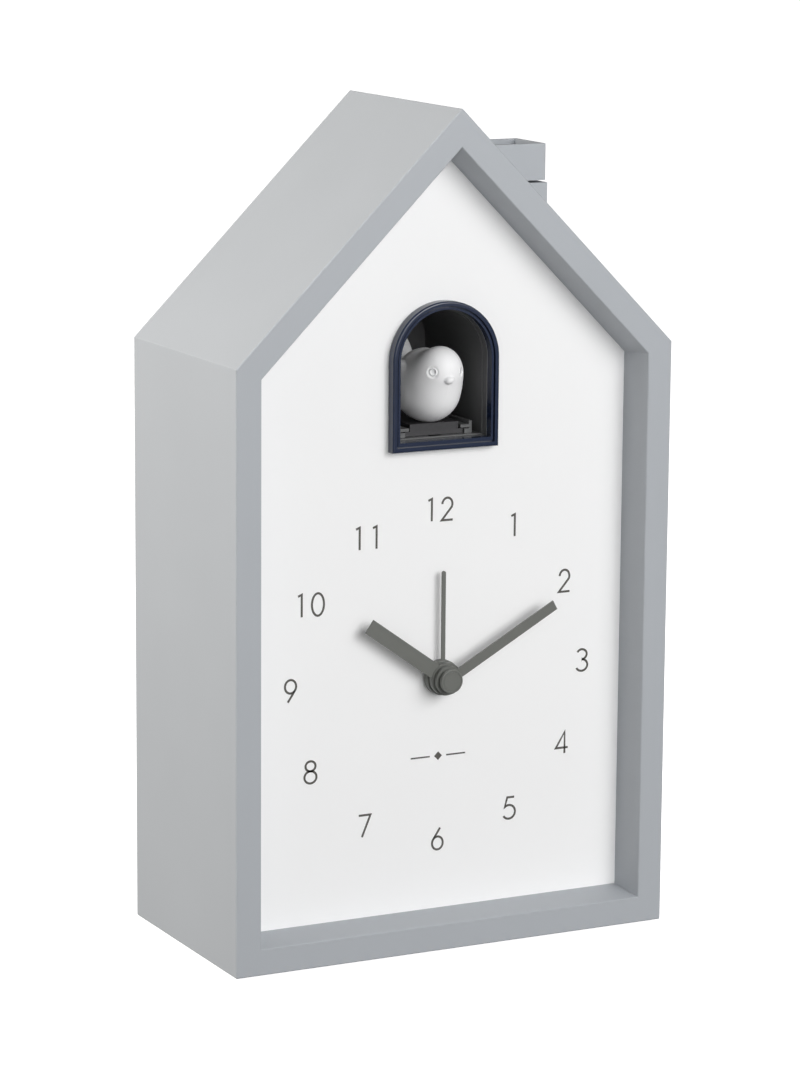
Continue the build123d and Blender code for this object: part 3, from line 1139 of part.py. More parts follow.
with BuildPart() as stem_clip:
    with BuildSketch(Plane.XY.offset(CLIP_TOP_Z - CLIP_THICKNESS)):
        with Locations((CHIMNEY_X, 0)):
            Circle(4.6)
            Circle(STEM_RADIUS - 0.6, mode=Mode.SUBTRACT)
        with Locations((CHIMNEY_X, -4.0)):
            Rectangle(3.6, 4.0, mode=Mode.SUBTRACT)
    extrude(amount=CLIP_THICKNESS)
save(stem_clip, "stem_clip")

with BuildPart() as button_spring:
    turns_height = BUTTON_BASE_Z - SPRING_POCKET_Z - 2 * SPRING_WIRE
    with BuildLine() as coil:
        Helix(turns_height / 4, turns_height, 4.1, (CHIMNEY_X, 0, SPRING_POCKET_Z + SPRING_WIRE))
    with BuildSketch(Plane(coil.line @ 0, z_dir=coil.line % 0)):
        Circle(SPRING_WIRE)
    sweep(path=coil.line, is_frenet=True)
save(button_spring, "button_spring")

BOARD_THICKNESS = 1.6
SNOOZE_BODY = 3.0
with BuildPart() as switch_board:
    block(
        CHIMNEY_X - 5.5, CHIMNEY_X + 5.5, -SWITCH_POST_Y - 3, SWITCH_POST_Y + 3,
        SWITCH_BOARD_TOP_Z - BOARD_THICKNESS, SWITCH_BOARD_TOP_Z,
    )
    for side in (-1, 1):
        place = (CHIMNEY_X, side * SWITCH_POST_Y)
        post(SCREW_RADIUS + FIT, SWITCH_BOARD_TOP_Z - 2, SWITCH_BOARD_TOP_Z, place, Mode.SUBTRACT)
save(switch_board, "switch_board")

with BuildPart() as snooze_switch:
    block(
        CHIMNEY_X - 3, CHIMNEY_X + 3, -3, 3,
        SWITCH_BOARD_TOP_Z, SWITCH_BOARD_TOP_Z + SNOOZE_BODY,
    )
    post(1.75, SWITCH_BOARD_TOP_Z + SNOOZE_BODY, STEM_END_Z - BUTTON_TRAVEL - 0.1, (CHIMNEY_X, 0))
save(snooze_switch, "snooze_switch")

# ---------------------------------------------------------------- fasteners inside the case

with BuildPart() as case_screws:
    # Screws driven forward from inside: the dial's rim, the niche's and movement's ears, the boards.
    forward = [(place, DIAL_BACK, DIAL_SCREW_LENGTH + DIAL_THICKNESS - 0.4) for place in DIAL_SCREWS]
    forward += [(place, DIAL_POST_BACK + EAR, 6.2) for place in NICHE_EARS + MOVEMENT_EARS]
    for place, seat, length in forward:
        peg(SCREW_HEAD_RADIUS, seat + SCREW_HEAD, seat, place)
        peg(SCREW_RADIUS, seat, seat - length, place)
save(case_screws, "case_screws")

with BuildPart() as board_screws:
    for side_x in (-1, 1):
        for side_z in (-1, 1):
            screw_x = BOARD_CENTRE[0] + side_x * (BOARD_SIZE[0] / 2 - BOARD_HOLE_INSET)
            screw_z = BOARD_CENTRE[1] + side_z * (BOARD_SIZE[1] / 2 - BOARD_HOLE_INSET)
            peg(SCREW_HEAD_RADIUS, BOARD_FRONT, BOARD_FRONT - SCREW_HEAD, (screw_x, screw_z))
            peg(SCREW_RADIUS, BOARD_BACK + 5.6, BOARD_FRONT, (screw_x, screw_z))
    for side in (-1, 1):
        place = (CHIMNEY_X, side * SWITCH_POST_Y)
        seat = SWITCH_BOARD_TOP_Z - BOARD_THICKNESS
        post(SCREW_HEAD_RADIUS, seat - SCREW_HEAD, seat, place)
        post(SCREW_RADIUS, seat, SWITCH_BOARD_TOP_Z + 5.6, place)
save(board_screws, "board_screws")
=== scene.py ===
"""Looks of the house-shaped cuckoo alarm clock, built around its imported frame.

Metres. X runs to the right seen from the front, Y to the rear, Z up. Sizes in the classes are
millimetres where their names end in _mm, and they are turned into metres by MM.
"""

import logging
import math
from dataclasses import dataclass, field
from enum import Enum
from typing import Callable, Sequence, Union

import bmesh
import bpy
import numpy as np
from mathutils import Matrix, Vector


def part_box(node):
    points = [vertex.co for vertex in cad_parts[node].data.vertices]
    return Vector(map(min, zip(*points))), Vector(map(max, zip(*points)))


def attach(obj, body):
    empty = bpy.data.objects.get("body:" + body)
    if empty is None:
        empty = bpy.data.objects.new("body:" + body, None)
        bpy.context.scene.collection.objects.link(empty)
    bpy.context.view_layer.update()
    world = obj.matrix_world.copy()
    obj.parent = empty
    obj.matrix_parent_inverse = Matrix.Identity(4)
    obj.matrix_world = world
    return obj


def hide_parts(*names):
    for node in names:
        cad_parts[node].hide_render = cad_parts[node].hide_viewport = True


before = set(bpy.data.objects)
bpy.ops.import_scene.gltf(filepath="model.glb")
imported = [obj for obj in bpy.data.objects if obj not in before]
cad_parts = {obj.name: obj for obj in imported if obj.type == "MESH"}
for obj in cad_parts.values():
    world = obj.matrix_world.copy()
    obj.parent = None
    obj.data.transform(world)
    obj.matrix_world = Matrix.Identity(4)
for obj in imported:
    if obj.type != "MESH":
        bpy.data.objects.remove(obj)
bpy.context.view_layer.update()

MM = 0.001
FULL_TURN = 2.0 * math.pi
DEGREES_APART = 6.0
WHITE = (1.0, 1.0, 1.0)
LOG = logging.getLogger("cuckoo_clock")

Colour = tuple[float, float, float]
Point2 = tuple[float, float]
Point3 = tuple[float, float, float]
Value = Union[float, Colour, "Signal"]


class Side(Enum):
    """Left or right of the clock, as the sign of its X."""

    LEFT = -1
    RIGHT = 1


class MetalKind(Enum):
    """Metals in the clock, with the colour that each reflects."""

    STEEL = (0.56, 0.56, 0.57)
    BRASS = (0.78, 0.58, 0.25)
    COPPER = (0.66, 0.27, 0.13)


# ------------------------ shader graph


class Signal:
    """A number, colour or vector on its way from one shader node to the next."""

    def __init__(self, graph: "Graph", socket: bpy.types.NodeSocket) -> None:
        """Wrap an output socket.

        Args:
            graph: The graph that the socket belongs to.
            socket: The output socket.
        """
        self.graph = graph
        self.socket = socket

    def _math(self, operation: str, left: Value, right: Value) -> "Signal":
        """Add a Math node that joins two values."""
        node = self.graph.node("ShaderNodeMath", {"operation": operation}, {0: left, 1: right})
        return Signal(self.graph, node.outputs[0])

    def __add__(self, other: Value) -> "Signal":
        """Sum."""
        return self._math("ADD", self, other)

    __radd__ = __add__

    def __sub__(self, other: Value) -> "Signal":
        """Difference."""
        return self._math("SUBTRACT", self, other)

    def __rsub__(self, other: Value) -> "Signal":
        """Difference, with this signal taken away."""
        return self._math("SUBTRACT", other, self)

    def __mul__(self, other: Value) -> "Signal":
        """Product."""
        return self._math("MULTIPLY", self, other)

    __rmul__ = __mul__

    def __truediv__(self, other: Value) -> "Signal":
        """Quotient."""
        return self._math("DIVIDE", self, other)

    def __rtruediv__(self, other: Value) -> "Signal":
        """Quotient, with this signal as the divisor."""
        return self._math("DIVIDE", other, self)

    def __pow__(self, other: Value) -> "Signal":
        """Power."""
        return self._math("POWER", self, other)

    def __abs__(self) -> "Signal":
        """Size without the sign."""
        return self._math("ABSOLUTE", self, 0.0)

    def __gt__(self, other: Value) -> "Signal":
        """One where this signal is the greater, otherwise zero."""
        return self._math("GREATER_THAN", self, other)

    def __lt__(self, other: Value) -> "Signal":
        """One where this signal is the lesser, otherwise zero."""
        return self._math("LESS_THAN", self, other)

    def sine(self) -> "Signal":
        """Sine of the signal in radians."""
        return self._math("SINE", self, 0.0)


class Graph:
    """The node tree of one material."""

    def __init__(self, name: str) -> None:
        """Start a material with an empty tree.

        Args:
            name: The material's name.
        """
        self.material = bpy.data.materials.new(name)
        self.material.use_nodes = True
        self.tree = self.material.node_tree
        self.tree.nodes.clear()
        self.shader = self.node("ShaderNodeBsdfPrincipled", {}, {})
        self.node("ShaderNodeOutputMaterial", {}, {"Surface": Signal(self, self.shader.outputs[0])})

    def node(self, kind: str, settings: dict, sockets: dict) -> bpy.types.Node:
        """Add one node.

        Args:
            kind: The node's type.
            settings: The node's own settings, which are set first.
            sockets: What goes into each input, by its name, identifier or number.

        Returns:
            The node.
        """
        made = self.tree.nodes.new(kind)
        for key, value in settings.items():
            setattr(made, key, value)
        for key, value in sockets.items():
            self.feed(made, key, value)
        return made

    def feed(self, node: bpy.types.Node, key: Union[str, int], value: Value) -> None:
        """Set or link one input of a node.

        Args:
            node: The node.
            key: The input's name, identifier or number.
            value: A number, a colour or vector, or a signal.
        """
        if isinstance(key, int):
            socket = node.inputs[key]
        else:
            socket = next(s for s in node.inputs if s.enabled and key in (s.identifier, s.name))
        if isinstance(value, Signal):
            self.tree.links.new(value.socket, socket)
        elif socket.type == "RGBA":
            socket.default_value = (*value, 1.0)
        else:
            socket.default_value = value

    def place(self) -> Signal:
        """Point on the surface, in the clock's own frame at rest."""
        return Signal(self, self.node("ShaderNodeTexCoord", {}, {}).outputs["Object"])

    def axis(self, name: str) -> Signal:
        """One coordinate of the point on the surface.

        Args:
            name: X, Y or Z.

        Returns:
            The coordinate in metres.
        """
        split = self.node("ShaderNodeSeparateXYZ", {}, {0: self.place()})
        return Signal(self, split.outputs[name])

    def noise(
        self, size_mm: float, detail: float = 3.0, stretch: Point3 = (1.0, 1.0, 1.0)
    ) -> Signal:
        """Soft random pattern from 0 to 1.

        Args:
            size_mm: Size of the largest blots.
            detail: How much finer structure is added.
            stretch: How much the pattern is drawn out along each axis.

        Returns:
            The pattern.
        """
        scale = tuple(1.0 / s for s in stretch)
        mapped = self.node("ShaderNodeMapping", {}, {"Vector": self.place(), "Scale": scale})
        where = Signal(self, mapped.outputs[0])
        sockets = {"Vector": where, "Scale": 1.0 / (size_mm * MM), "Detail": detail}
        return Signal(self, self.node("ShaderNodeTexNoise", {}, sockets).outputs[0])

    def cells(self, size_mm: float) -> Signal:
        """Distance to the nearest point of a random scatter.

        Args:
            size_mm: Mean distance between the points.

        Returns:
            The pattern.
        """
        sockets = {"Vector": self.place(), "Scale": 1.0 / (size_mm * MM)}
        node = self.node("ShaderNodeTexVoronoi", {"feature": "F1"}, sockets)
        return Signal(self, node.outputs["Distance"])

    def stripes(self, name: str, pitch_mm: float) -> Signal:
        """Even stripes across one axis.

        Args:
            name: X, Y or Z.
            pitch_mm: Distance from one stripe to the next.

        Returns:
            The pattern, from -1 to 1.
        """
        return (self.axis(name) * (FULL_TURN / (pitch_mm * MM))).sine()

    def mix(self, factor: Value, low: Value, high: Value) -> Signal:
        """Blend of two colours.

        Args:
            factor: Share of the second colour.
            low: The first colour.
            high: The second colour.

        Returns:
            The blend.
        """
        sockets = {"Factor_Float": factor, "A_Color": low, "B_Color": high}
        node = self.node("ShaderNodeMix", {"data_type": "RGBA"}, sockets)
        return Signal(self, next(s for s in node.outputs if s.identifier == "Result_Color"))

    def tint(self, colour: Colour, amount: float, pattern: Signal) -> Signal:
        """Colour made a little darker and lighter by a pattern.

        Args:
            colour: The mean colour.
            amount: Largest change, as a share.
            pattern: The pattern, from 0 to 1.

        Returns:
            The uneven colour.
        """
        dark = tuple(c * (1.0 - amount) for c in colour)
        light = tuple(min(1.0, c * (1.0 + amount)) for c in colour)
        return self.mix(pattern, dark, light)

    def relief(self, height: Signal, depth_mm: float) -> None:
        """Raise the surface by a height pattern.

        Args:
            height: The pattern, from 0 to 1.
            depth_mm: What a height of 1 stands for.
        """
        sockets = {"Height": height, "Distance": depth_mm * MM, "Strength": 1.0}
        bump = self.node("ShaderNodeBump", {}, sockets)
        self.surface(Normal=Signal(self, bump.outputs[0]))

    def surface(self, **inputs: Value) -> None:
        """Set inputs of the surface shader; an underscore in a name stands for a space."""
        for key, value in inputs.items():
            self.feed(self.shader, key.replace("_", " "), value)


# ------------------------ finishes

_MADE: dict[str, bpy.types.Material] = {}


@dataclass(frozen=True)
class Finish:
    """A surface finish; each kind writes its own shader."""

    name: str

    def write(self, graph: Graph) -> None:
        """Write the shader into a graph; each kind of finish has its own."""
        raise NotImplementedError

    def material(self) -> bpy.types.Material:
        """The finish as a material, made once.

        Returns:
            The material.
        """
        if self.name not in _MADE:
            graph = Graph(self.name)
            self.write(graph)
            _MADE[self.name] = graph.material
        return _MADE[self.name]


@dataclass(frozen=True)
class MouldedPlastic(Finish):
    """Injection-moulded plastic: faint clouds of tone over a fine spark-eroded grain."""

    colour: Colour = (0.5, 0.5, 0.5)
    roughness: float = 0.45
    clouds: float = 0.03
    cloud_mm: float = 22.0
    grain_mm: float = 0.35
    grain_depth_mm: float = 0.006
    gloss: float = 0.5
    grain_dulling: float = 0.12
    cloud_dulling: float = 0.1

    def write(self, graph: Graph) -> None:
        """Write the shader."""
        cloud = graph.noise(self.cloud_mm, 4.0)
        grain = graph.noise(self.grain_mm, 2.0)
        graph.surface(Base_Color=graph.tint(self.colour, self.clouds, cloud))
        graph.surface(Specular_IOR_Level=self.gloss)
        dulled = self.roughness + (grain - 0.5) * self.grain_dulling
        graph.surface(Roughness=dulled + (cloud - 0.5) * self.cloud_dulling)
        graph.relief(grain, self.grain_depth_mm)


@dataclass(frozen=True)
class GlossPlastic(Finish):
    """Dark glossy plastic with a slight ripple from the mould, matt and grey inside its sleeve.

    The sleeve starts at the depth sleeve_y, in metres. A pale band of painted highlight runs along
    its front rim; its width in millimetres is set below.
    """

    colour: Colour = (0.02, 0.03, 0.07)
    roughness: float = 0.18
    ripple_mm: float = 1.6
    ripple_depth_mm: float = 0.01
    ripple_dulling: float = 0.06
    flow: float = 0.15
    flow_mm: float = 5.0
    coat: float = 0.3
    coat_roughness: float = 0.12
    inner: Colour = (0.12, 0.122, 0.124)
    # painted highlight: pale colour that stands in for light caught on the sleeve's front rim
    edge: Colour = (0.42, 0.43, 0.44)
    sleeve_y: float = -0.0223
    edge_mm: float = 0.22
    sleeve_dulling: float = 0.2

    def write(self, graph: Graph) -> None:
        """Write the shader."""
        ripple = graph.noise(self.ripple_mm, 2.0)
        navy = graph.tint(self.colour, self.flow, graph.noise(self.flow_mm, 3.0))
        sleeve = graph.axis("Y") > self.sleeve_y
        # a thin pale band of painted highlight where the sleeve starts, then the matt grey lining
        # behind it
        deep = graph.axis("Y") > self.sleeve_y + self.edge_mm * MM
        lining_and_highlight = graph.mix(deep, self.edge, self.inner)
        graph.surface(Base_Color=graph.mix(sleeve, navy, lining_and_highlight))
        graph.surface(Coat_Weight=self.coat - sleeve * self.coat)
        graph.surface(Coat_Roughness=self.coat_roughness)
        dulled = self.roughness + ripple * self.ripple_dulling
        graph.surface(Roughness=dulled + sleeve * self.sleeve_dulling)
        graph.relief(ripple, self.ripple_depth_mm)


@dataclass(frozen=True)
class Coating(Finish):
    """Thin coat with clouds of tone and a fine grain that dulls it in spots."""

    colour: Colour = (0.9, 0.9, 0.9)
    clouds: float = 0.012
    cloud_mm: float = 30.0
    roughness: float = 0.55
    gloss: float = 0.3
    grain_mm: float = 0.5
    grain_depth_mm: float = 0.008
    grain_dulling: float = 0.12

    def write(self, graph: Graph) -> None:
        """Write the shader."""
        grain = graph.noise(self.grain_mm, 3.0)
        cloud = graph.noise(self.cloud_mm, 3.0)
        graph.surface(Base_Color=graph.tint(self.colour, self.clouds, cloud))
        graph.surface(Roughness=self.roughness + grain * self.grain_dulling)
        graph.surface(Specular_IOR_Level=self.gloss)
        graph.relief(grain, self.grain_depth_mm)


@dataclass(frozen=True)
class Lacquer(Coating):
    """Thin satin lacquer on stamped metal."""

    colour: Colour = (0.150, 0.155, 0.142)
    clouds: float = 0.06
    cloud_mm: float = 2.5
    roughness: float = 0.34
    gloss: float = 0.5
    grain_mm: float = 0.25
    grain_depth_mm: float = 0.006
    grain_dulling: float = 0.16


@dataclass(frozen=True)
class Ink(Coating):
    """Pad-printed ink, a little uneven at its surface."""

    colour: Colour = (0.105, 0.1, 0.09)
    clouds: float = 0.12
    cloud_mm: float = 0.4
    roughness: float = 0.5
    grain_mm: float = 0.4
    grain_depth_mm: float = 0.004
    grain_dulling: float = 0.2


@dataclass(frozen=True)
class Metal(Finish):
    """Rolled or turned metal, with fine lines and a little tarnish."""

    kind: MetalKind = MetalKind.STEEL
    roughness: float = 0.3
    lines: Point3 = (1.0, 1.0, 12.0)
    line_mm: float = 0.18
    line_depth_mm: float = 0.004
    line_dulling: float = 0.2
    tarnish: float = 0.12
    tarnish_mm: float = 4.0
    tarnish_dulling: float = 0.08

    def write(self, graph: Graph) -> None:
        """Write the shader."""
        brush = graph.noise(self.line_mm, 2.0, self.lines)
        stain = graph.noise(self.tarnish_mm, 4.0)
        graph.surface(Base_Color=graph.tint(self.kind.value, self.tarnish, stain), Metallic=1.0)
        dulled = self.roughness + (brush - 0.5) * self.line_dulling
        graph.surface(Roughness=dulled + stain * self.tarnish_dulling)
        graph.relief(brush, self.line_depth_mm)


@dataclass(frozen=True)
class Winding(Finish):
    """Turns of enamelled wire side by side, painted shade in the gaps, painted highlight on top."""

    pitch_mm: float = 0.22
    shading: float = 0.35
    metallic: float = 0.85
    roughness: float = 0.32
    gap_dulling: float = 0.2
    enamel: float = 0.4
    enamel_roughness: float = 0.15
    wire_depth_mm: float = 0.08

    def write(self, graph: Graph) -> None:
        """Write the shader."""
        turn = graph.stripes("X", self.pitch_mm) * 0.5 + 0.5
        # painted shade and highlight: the copper is darkened in the gaps between turns and
        # lightened on their crowns
        copper = graph.tint(MetalKind.COPPER.value, self.shading, turn)
        graph.surface(Base_Color=copper, Metallic=self.metallic)
        graph.surface(Roughness=self.roughness + (1.0 - turn) * self.gap_dulling)
        graph.surface(Coat_Weight=self.enamel, Coat_Roughness=self.enamel_roughness)
        graph.relief(turn, self.wire_depth_mm)


@dataclass(frozen=True)
class CircuitBoard(Finish):
    """Green solder resist over copper tracks, with tinned pads."""

    resist: Colour = (0.012, 0.075, 0.03)
    resist_on_track: Colour = (0.03, 0.16, 0.06)
    tin: Colour = (0.6, 0.6, 0.58)
    track_mm: float = 1.3
    track_edge: float = 0.1
    region_mm: float = 9.0
    pad_mm: float = 2.6
    pad_edge: float = 0.22
    pad_metallic: float = 0.9
    roughness: float = 0.34
    mottle_mm: float = 0.5
    mottle_dulling: float = 0.12
    coat: float = 0.2
    track_height: float = 0.5
    pad_depth_mm: float = 0.03

    def write(self, graph: Graph) -> None:
        """Write the shader."""
        along = graph.stripes("X", self.track_mm)
        across = graph.stripes("Z", self.track_mm)
        region = graph.noise(self.region_mm, 0.0) > 0.5
        track = (along * region + across * (1.0 - region)) > self.track_edge
        pad = graph.cells(self.pad_mm) < self.pad_edge
        green = graph.mix(track, self.resist, self.resist_on_track)
        graph.surface(Base_Color=graph.mix(pad, green, self.tin), Metallic=pad * self.pad_metallic)
        mottle = graph.noise(self.mottle_mm) * self.mottle_dulling
        graph.surface(Roughness=self.roughness + mottle, Coat_Weight=self.coat)
        graph.relief(track * self.track_height + pad, self.pad_depth_mm)


@dataclass(frozen=True)
class CellSleeve(Finish):
    """Printed sleeve of a dry cell: dark body, copper-coloured band and bare steel ends."""

    low_x: float = -0.025
    high_x: float = 0.025
    band: float = 0.28
    cap_mm: float = 1.6
    dark: Colour = (0.03, 0.032, 0.036)
    copper: Colour = (0.62, 0.30, 0.12)
    steel: Colour = (0.6, 0.6, 0.61)
    metallic: float = 0.35
    end_metallic: float = 0.65
    roughness: float = 0.22
    scuff_mm: float = 1.4
    scuff_depth_mm: float = 0.01
    scuff_dulling: float = 0.2

    def write(self, graph: Graph) -> None:
        """Write the shader."""
        length = self.high_x - self.low_x
        share = (graph.axis("X") - self.low_x) / length
        end = abs(share - 0.5) > (0.5 - self.cap_mm * MM / length)
        sleeve = graph.mix(share < self.band, self.dark, self.copper)
        scuff = graph.noise(self.scuff_mm, 4.0)
        graph.surface(Base_Color=graph.mix(end, sleeve, self.steel))
        graph.surface(Metallic=self.metallic + end * self.end_metallic)
        graph.surface(Roughness=self.roughness + scuff * self.scuff_dulling)
        graph.relief(scuff, self.scuff_depth_mm)


@dataclass(frozen=True)
class PressedPaper(Finish):
    """Black speaker cone paper with fibres."""

    colour: Colour = (0.025, 0.025, 0.026)
    gloss: float = 0.25
    roughness: float = 0.7
    fibre_mm: float = 0.7
    fibre_stretch: Point3 = (1.0, 1.0, 4.0)
    fibre_contrast: float = 0.4
    fibre_depth_mm: float = 0.05
    fibre_dulling: float = 0.2

    def write(self, graph: Graph) -> None:
        """Write the shader."""
        fibre = graph.noise(self.fibre_mm, 6.0, self.fibre_stretch)
        graph.surface(Base_Color=graph.tint(self.colour, self.fibre_contrast, fibre))
        graph.surface(Roughness=self.roughness + fibre * self.fibre_dulling)
        graph.surface(Specular_IOR_Level=self.gloss)
        graph.relief(fibre, self.fibre_depth_mm)


@dataclass(frozen=True)
class Rubber(Finish):
    """Soft black rubber with a bloom of dust."""

    colour: Colour = (0.035, 0.035, 0.036)
    gloss: float = 0.35
    roughness: float = 0.68
    bloom: float = 0.3
    bloom_mm: float = 1.8
    bloom_dulling: float = 0.2
    grain_mm: float = 0.3
    grain_depth_mm: float = 0.02

    def write(self, graph: Graph) -> None:
        """Write the shader."""
        dust = graph.noise(self.bloom_mm, 5.0)
        graph.surface(Base_Color=graph.tint(self.colour, self.bloom, dust))
        graph.surface(Roughness=self.roughness + dust * self.bloom_dulling)
        graph.surface(Specular_IOR_Level=self.gloss)
        graph.relief(graph.noise(self.grain_mm, 2.0), self.grain_depth_mm)


@dataclass(frozen=True)
class FigurePlastic(Finish):
    """White plastic of the cuckoo, with the parting line of its mould."""

    colour: Colour = (0.95, 0.95, 0.955)
    clouds: float = 0.02
    cloud_mm: float = 6.0
    gloss: float = 0.45
    roughness: float = 0.4
    skin_mm: float = 1.2
    skin_dulling: float = 0.12
    skin_height: float = 0.15
    seam_mm: float = 0.14
    seam_height: float = 0.8
    relief_mm: float = 0.05

    def write(self, graph: Graph) -> None:
        """Write the shader."""
        seam = 1.0 / (1.0 + (graph.axis("X") / (self.seam_mm * MM)) ** 2.0)
        skin = graph.noise(self.skin_mm, 3.0)
        cloud = graph.noise(self.cloud_mm, 3.0)
        graph.surface(Base_Color=graph.tint(self.colour, self.clouds, cloud))
        graph.surface(Roughness=self.roughness + skin * self.skin_dulling)
        graph.surface(Specular_IOR_Level=self.gloss)
        graph.relief(seam * self.seam_height + skin * self.skin_height, self.relief_mm)


HOUSING_GREY = MouldedPlastic("housing_grey", (0.437, 0.460, 0.488), 0.46, 0.022, 24.0)
COVER_GREY = MouldedPlastic("cover_grey", (0.40, 0.42, 0.445), 0.55, 0.03, 18.0, 0.5, 0.02)
KNOB_GREY = MouldedPlastic("knob_grey", (0.30, 0.315, 0.335), 0.5, 0.03, 6.0)
NICHE_BLACK = MouldedPlastic("niche_black", (0.12, 0.122, 0.124), 0.42, 0.08, 6.0, 0.3, 0.01)
CARRIAGE_BLACK = MouldedPlastic("carriage_black", (0.03, 0.029, 0.032), 0.42, 0.25, 1.2, 0.3, 0.02)
SWITCH_BLACK = MouldedPlastic("switch_black", (0.03, 0.03, 0.032), 0.45, 0.1, 4.0)
MOVEMENT_BLACK = MouldedPlastic("movement_black", (0.028, 0.028, 0.03), 0.4, 0.1, 8.0)
ACETAL = MouldedPlastic("natural_acetal", (0.80, 0.78, 0.72), 0.35, 0.03, 4.0)
FRAME_NAVY = GlossPlastic("frame_navy", (0.010, 0.019, 0.05), 0.2)
DIAL_WHITE = Coating("dial_white", (0.96, 0.96, 0.96))
HAND_GREY = Lacquer("hand_grey")
BIRD_WHITE = FigurePlastic("bird_white")
PRINT_GREY = Ink("print_grey")
STEEL = Metal("bright_steel")
TURNED_STEEL = Metal("turned_steel", MetalKind.STEEL, 0.22, (1.0, 12.0, 1.0))
BRASS = Metal("contact_brass", MetalKind.BRASS, 0.28)
COPPER = Winding("copper_winding")
LAMINATE = CircuitBoard("circuit_laminate")
CONE_PAPER = PressedPaper("cone_paper")
SOFT_RUBBER = Rubber("soft_rubber")


# ------------------------ shared making


def dress(finish: Finish, *nodes: str) -> None:
    """Give CAD nodes a finish.

    Args:
        finish: The finish.
        nodes: The nodes' names.
    """
    material = finish.material()
    for name in nodes:
        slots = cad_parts[name].data.materials
        slots.clear()
        slots.append(material)


def mesh_from(shape: bmesh.types.BMesh, name: str) -> bpy.types.Mesh:
    """Turn a working mesh into a finished one, and free it.

    Args:
        shape: The working mesh.
        name: The finished mesh's name.

    Returns:
        The finished mesh.
    """
    mesh = bpy.data.meshes.new(name)
    shape.to_mesh(mesh)
    shape.free()
    return mesh


def add_object(name: str, content: bpy.types.ID) -> bpy.types.Object:
    """Put a mesh, light or camera into the scene.

    Args:
        name: The object's name.
        content: What it holds.

    Returns:
        The object.
    """
    made = bpy.data.objects.new(name, content)
    bpy.context.scene.collection.objects.link(made)
    return made


def add_piece(
    name: str,
    mesh: bpy.types.Mesh,
    finish: Finish,
    body: str,
    replaced: Sequence[str] = (),
) -> bpy.types.Object:
    """Put a finished mesh into the clock.

    Args:
        name: The piece's name.
        mesh: Its mesh, in the clock's frame.
        finish: Its finish.
        body: The body that it rides on.
        replaced: CAD nodes that it stands for.

    Returns:
        The piece.
    """
    mesh.materials.clear()
    mesh.materials.append(finish.material())
    piece = add_object(name, mesh)
    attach(piece, body)
    if replaced:
        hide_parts(*replaced)
    LOG.info("piece %s on %s, %d faces", name, body, len(mesh.polygons))
    return piece


def arc(
    centre: Point2, radius: float, start: float, end: float, stretch: float = 1.0
) -> list[Point2]:
    """Points along an arc or a stretch of an ellipse.

    Args:
        centre: Middle of the arc.
        radius: Radius across.
        start: First angle in degrees.
        end: Last angle in degrees.
        stretch: Height as a multiple of the width.

    Returns:
        The points, about six degrees apart.
    """
    count = max(2, int(abs(end - start) / DEGREES_APART))
    angles = [math.radians(start + (end - start) * i / count) for i in range(count + 1)]
    height = radius * stretch
    return [(centre[0] + radius * math.cos(a), centre[1] + height * math.sin(a)) for a in angles]


# ------------------------ dial printing


